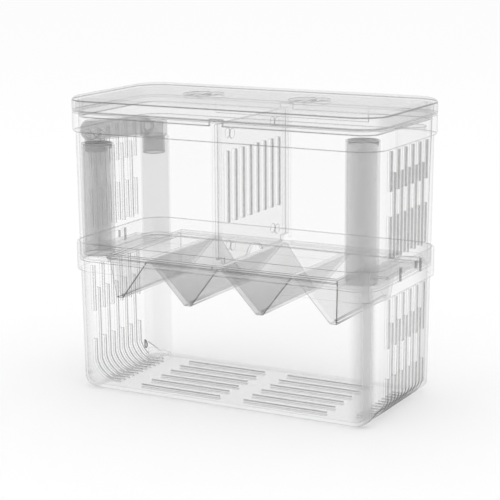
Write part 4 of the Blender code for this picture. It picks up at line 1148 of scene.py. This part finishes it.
def pipe():
    x = (pipe_low.x + pipe_high.x) / 2
    left_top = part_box("front_left_tube")[1].z
    riser_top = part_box("riser_tube")[1].z
    left_y = middle_of("front_left_tube").y
    near_z = left_top + PIPE_NEAR_RISE
    slope = (riser_top + PIPE_FAR_RISE - near_z) / (RISER_PLACE.y - left_y)

    def on_axis(y):
        return (x, y, near_z + slope * (y - left_y))

    near_y = PIPE_END_GAP - UPPER_INNER_HALF_DEPTH
    far_y = RISER_PLACE.y - PIPE_FAR_SHORT
    near_place = (x, left_y)
    far_place = (x, RISER_PLACE.y)
    near_foot = left_top - NEAR_LEG_REACH
    far_foot = riser_top - FAR_LEG_REACH
    head_bottom = riser_top + GAP
    head_top = riser_top + FAR_HEAD_HEIGHT
    head = cylinder(FAR_HEAD_RADIUS, head_bottom, head_top, far_place)
    round_edges(head, edges_at_level(head, head_top), FAR_HEAD_EDGE, EDGE_STEPS)
    run = sloping_run(PIPE_RUN_RADIUS, on_axis(near_y), on_axis(far_y), PIPE_END_EDGE,
                      PIPE_DOME_SHARE)
    shape = worked(run, [
        ("UNION", cylinder(NEAR_LEG_RADIUS, near_foot, near_z, near_place)),
        ("UNION", head),
        ("UNION", cylinder(FAR_LEG_RADIUS, far_foot, (head_bottom + head_top) / 2, far_place)),
        ("DIFFERENCE", sloping_run(PIPE_RUN_RADIUS - PIPE_WALL, on_axis(near_y + PIPE_WALL),
                                   on_axis(far_y - PIPE_WALL), 0.0, PIPE_DOME_SHARE)),
        ("DIFFERENCE", cylinder(NEAR_LEG_RADIUS - PIPE_WALL, near_foot - OVERRUN, near_z,
                                near_place)),
        ("DIFFERENCE", cylinder(FAR_LEG_RADIUS - PIPE_WALL, far_foot - OVERRUN,
                                head_top - PIPE_WALL, far_place)),
        ("DIFFERENCE", sloping_run(PIPE_LINK_RADIUS, on_axis(far_y - PIPE_RUN_RADIUS),
                                   on_axis(RISER_PLACE.y), 0.0, 0.0)),
    ])
    finished("bridge_pipe_dressed", shape, PIPE_LOOK, "bridge_pipe",
             TUBE_EDGE_SHARE)


def floor():
    source = bmesh.new()
    bmesh.ops.create_grid(source, x_segments=1, y_segments=1, size=FLOOR_HALF_SIZE)
    mesh = bpy.data.meshes.new("studio_floor")
    source.to_mesh(mesh)
    source.free()
    obj = bpy.data.objects.new("studio_floor", mesh)
    bpy.context.scene.collection.objects.link(obj)
    material, tree, shader = principled("floor_white", FLOOR_COLOUR)
    shader.inputs["Roughness"].default_value = FLOOR_ROUGHNESS
    shader.inputs["Specular IOR Level"].default_value = 0.0
    mesh.materials.append(material)


def area_light(name, place, size, power):
    light = bpy.data.lights.new(name, "AREA")
    light.shape = "DISK"
    light.size = size
    light.energy = power
    obj = bpy.data.objects.new(name, light)
    bpy.context.scene.collection.objects.link(obj)
    obj.location = place
    obj.rotation_mode = "QUATERNION"
    aim = Vector((0.0, 0.0, HEIGHT / 2)) - Vector(place)
    obj.rotation_quaternion = aim.to_track_quat("-Z", "Y")


def studio():
    floor()
    area_light("top_soft", TOP_LIGHT_PLACE, TOP_LIGHT_SIZE, TOP_LIGHT_POWER)
    area_light("side_soft", SIDE_LIGHT_PLACE, SIDE_LIGHT_SIZE, SIDE_LIGHT_POWER)
    world = bpy.data.worlds.new("white_room")
    bpy.context.scene.world = world
    world.use_nodes = True
    tree = world.node_tree
    back = tree.nodes["Background"]
    back.inputs["Color"].default_value = (1.0, 1.0, 1.0, 1.0)
    path = node_of(tree, "ShaderNodeLightPath")
    seen = worked_out(tree, "MAXIMUM", path.outputs["Is Camera Ray"],
                      path.outputs["Is Glossy Ray"])
    seen = worked_out(tree, "MAXIMUM", seen, path.outputs["Is Transmission Ray"])
    level = ramp(tree, seen, 0.0, 1.0, WORLD_LIGHT, 1.0)
    tree.links.new(level, back.inputs["Strength"])
    scene = bpy.context.scene
    scene.view_settings.view_transform = "Standard"
    scene.cycles.transparent_max_bounces = LIGHT_BOUNCES


def camera():
    data = bpy.data.cameras.new("photo_camera")
    data.sensor_width = CAMERA_SENSOR
    data.lens = CAMERA_LENS
    obj = bpy.data.objects.new("photo_camera", data)
    bpy.context.scene.collection.objects.link(obj)
    obj.matrix_world = (Matrix.Translation(CAMERA_PLACE)
                        @ Matrix.Rotation(CAMERA_AZIMUTH, 4, "Z")
                        @ Matrix.Rotation(QUARTER_TURN - CAMERA_ELEVATION, 4, "X")
                        @ Matrix.Rotation(CAMERA_ROLL, 4, "Z"))
    bpy.context.scene.camera = obj


camera()
studio()
lower_box()
upper_box()
lid()
tray()
divider()
for standing, look in (("front_left_tube", FRONT_LEFT_LOOK),
                       ("front_right_tube", FRONT_RIGHT_LOOK),
                       ("back_right_tube", BACK_TUBE_LOOK)):
    tube(standing, look, middle_of(standing), radius_of(standing), TUBE_EDGE_SHARE)
tube("riser_tube", RISER_LOOK, RISER_PLACE, BACK_TUBE_RADIUS, RISER_EDGE_SHARE)
pipe()
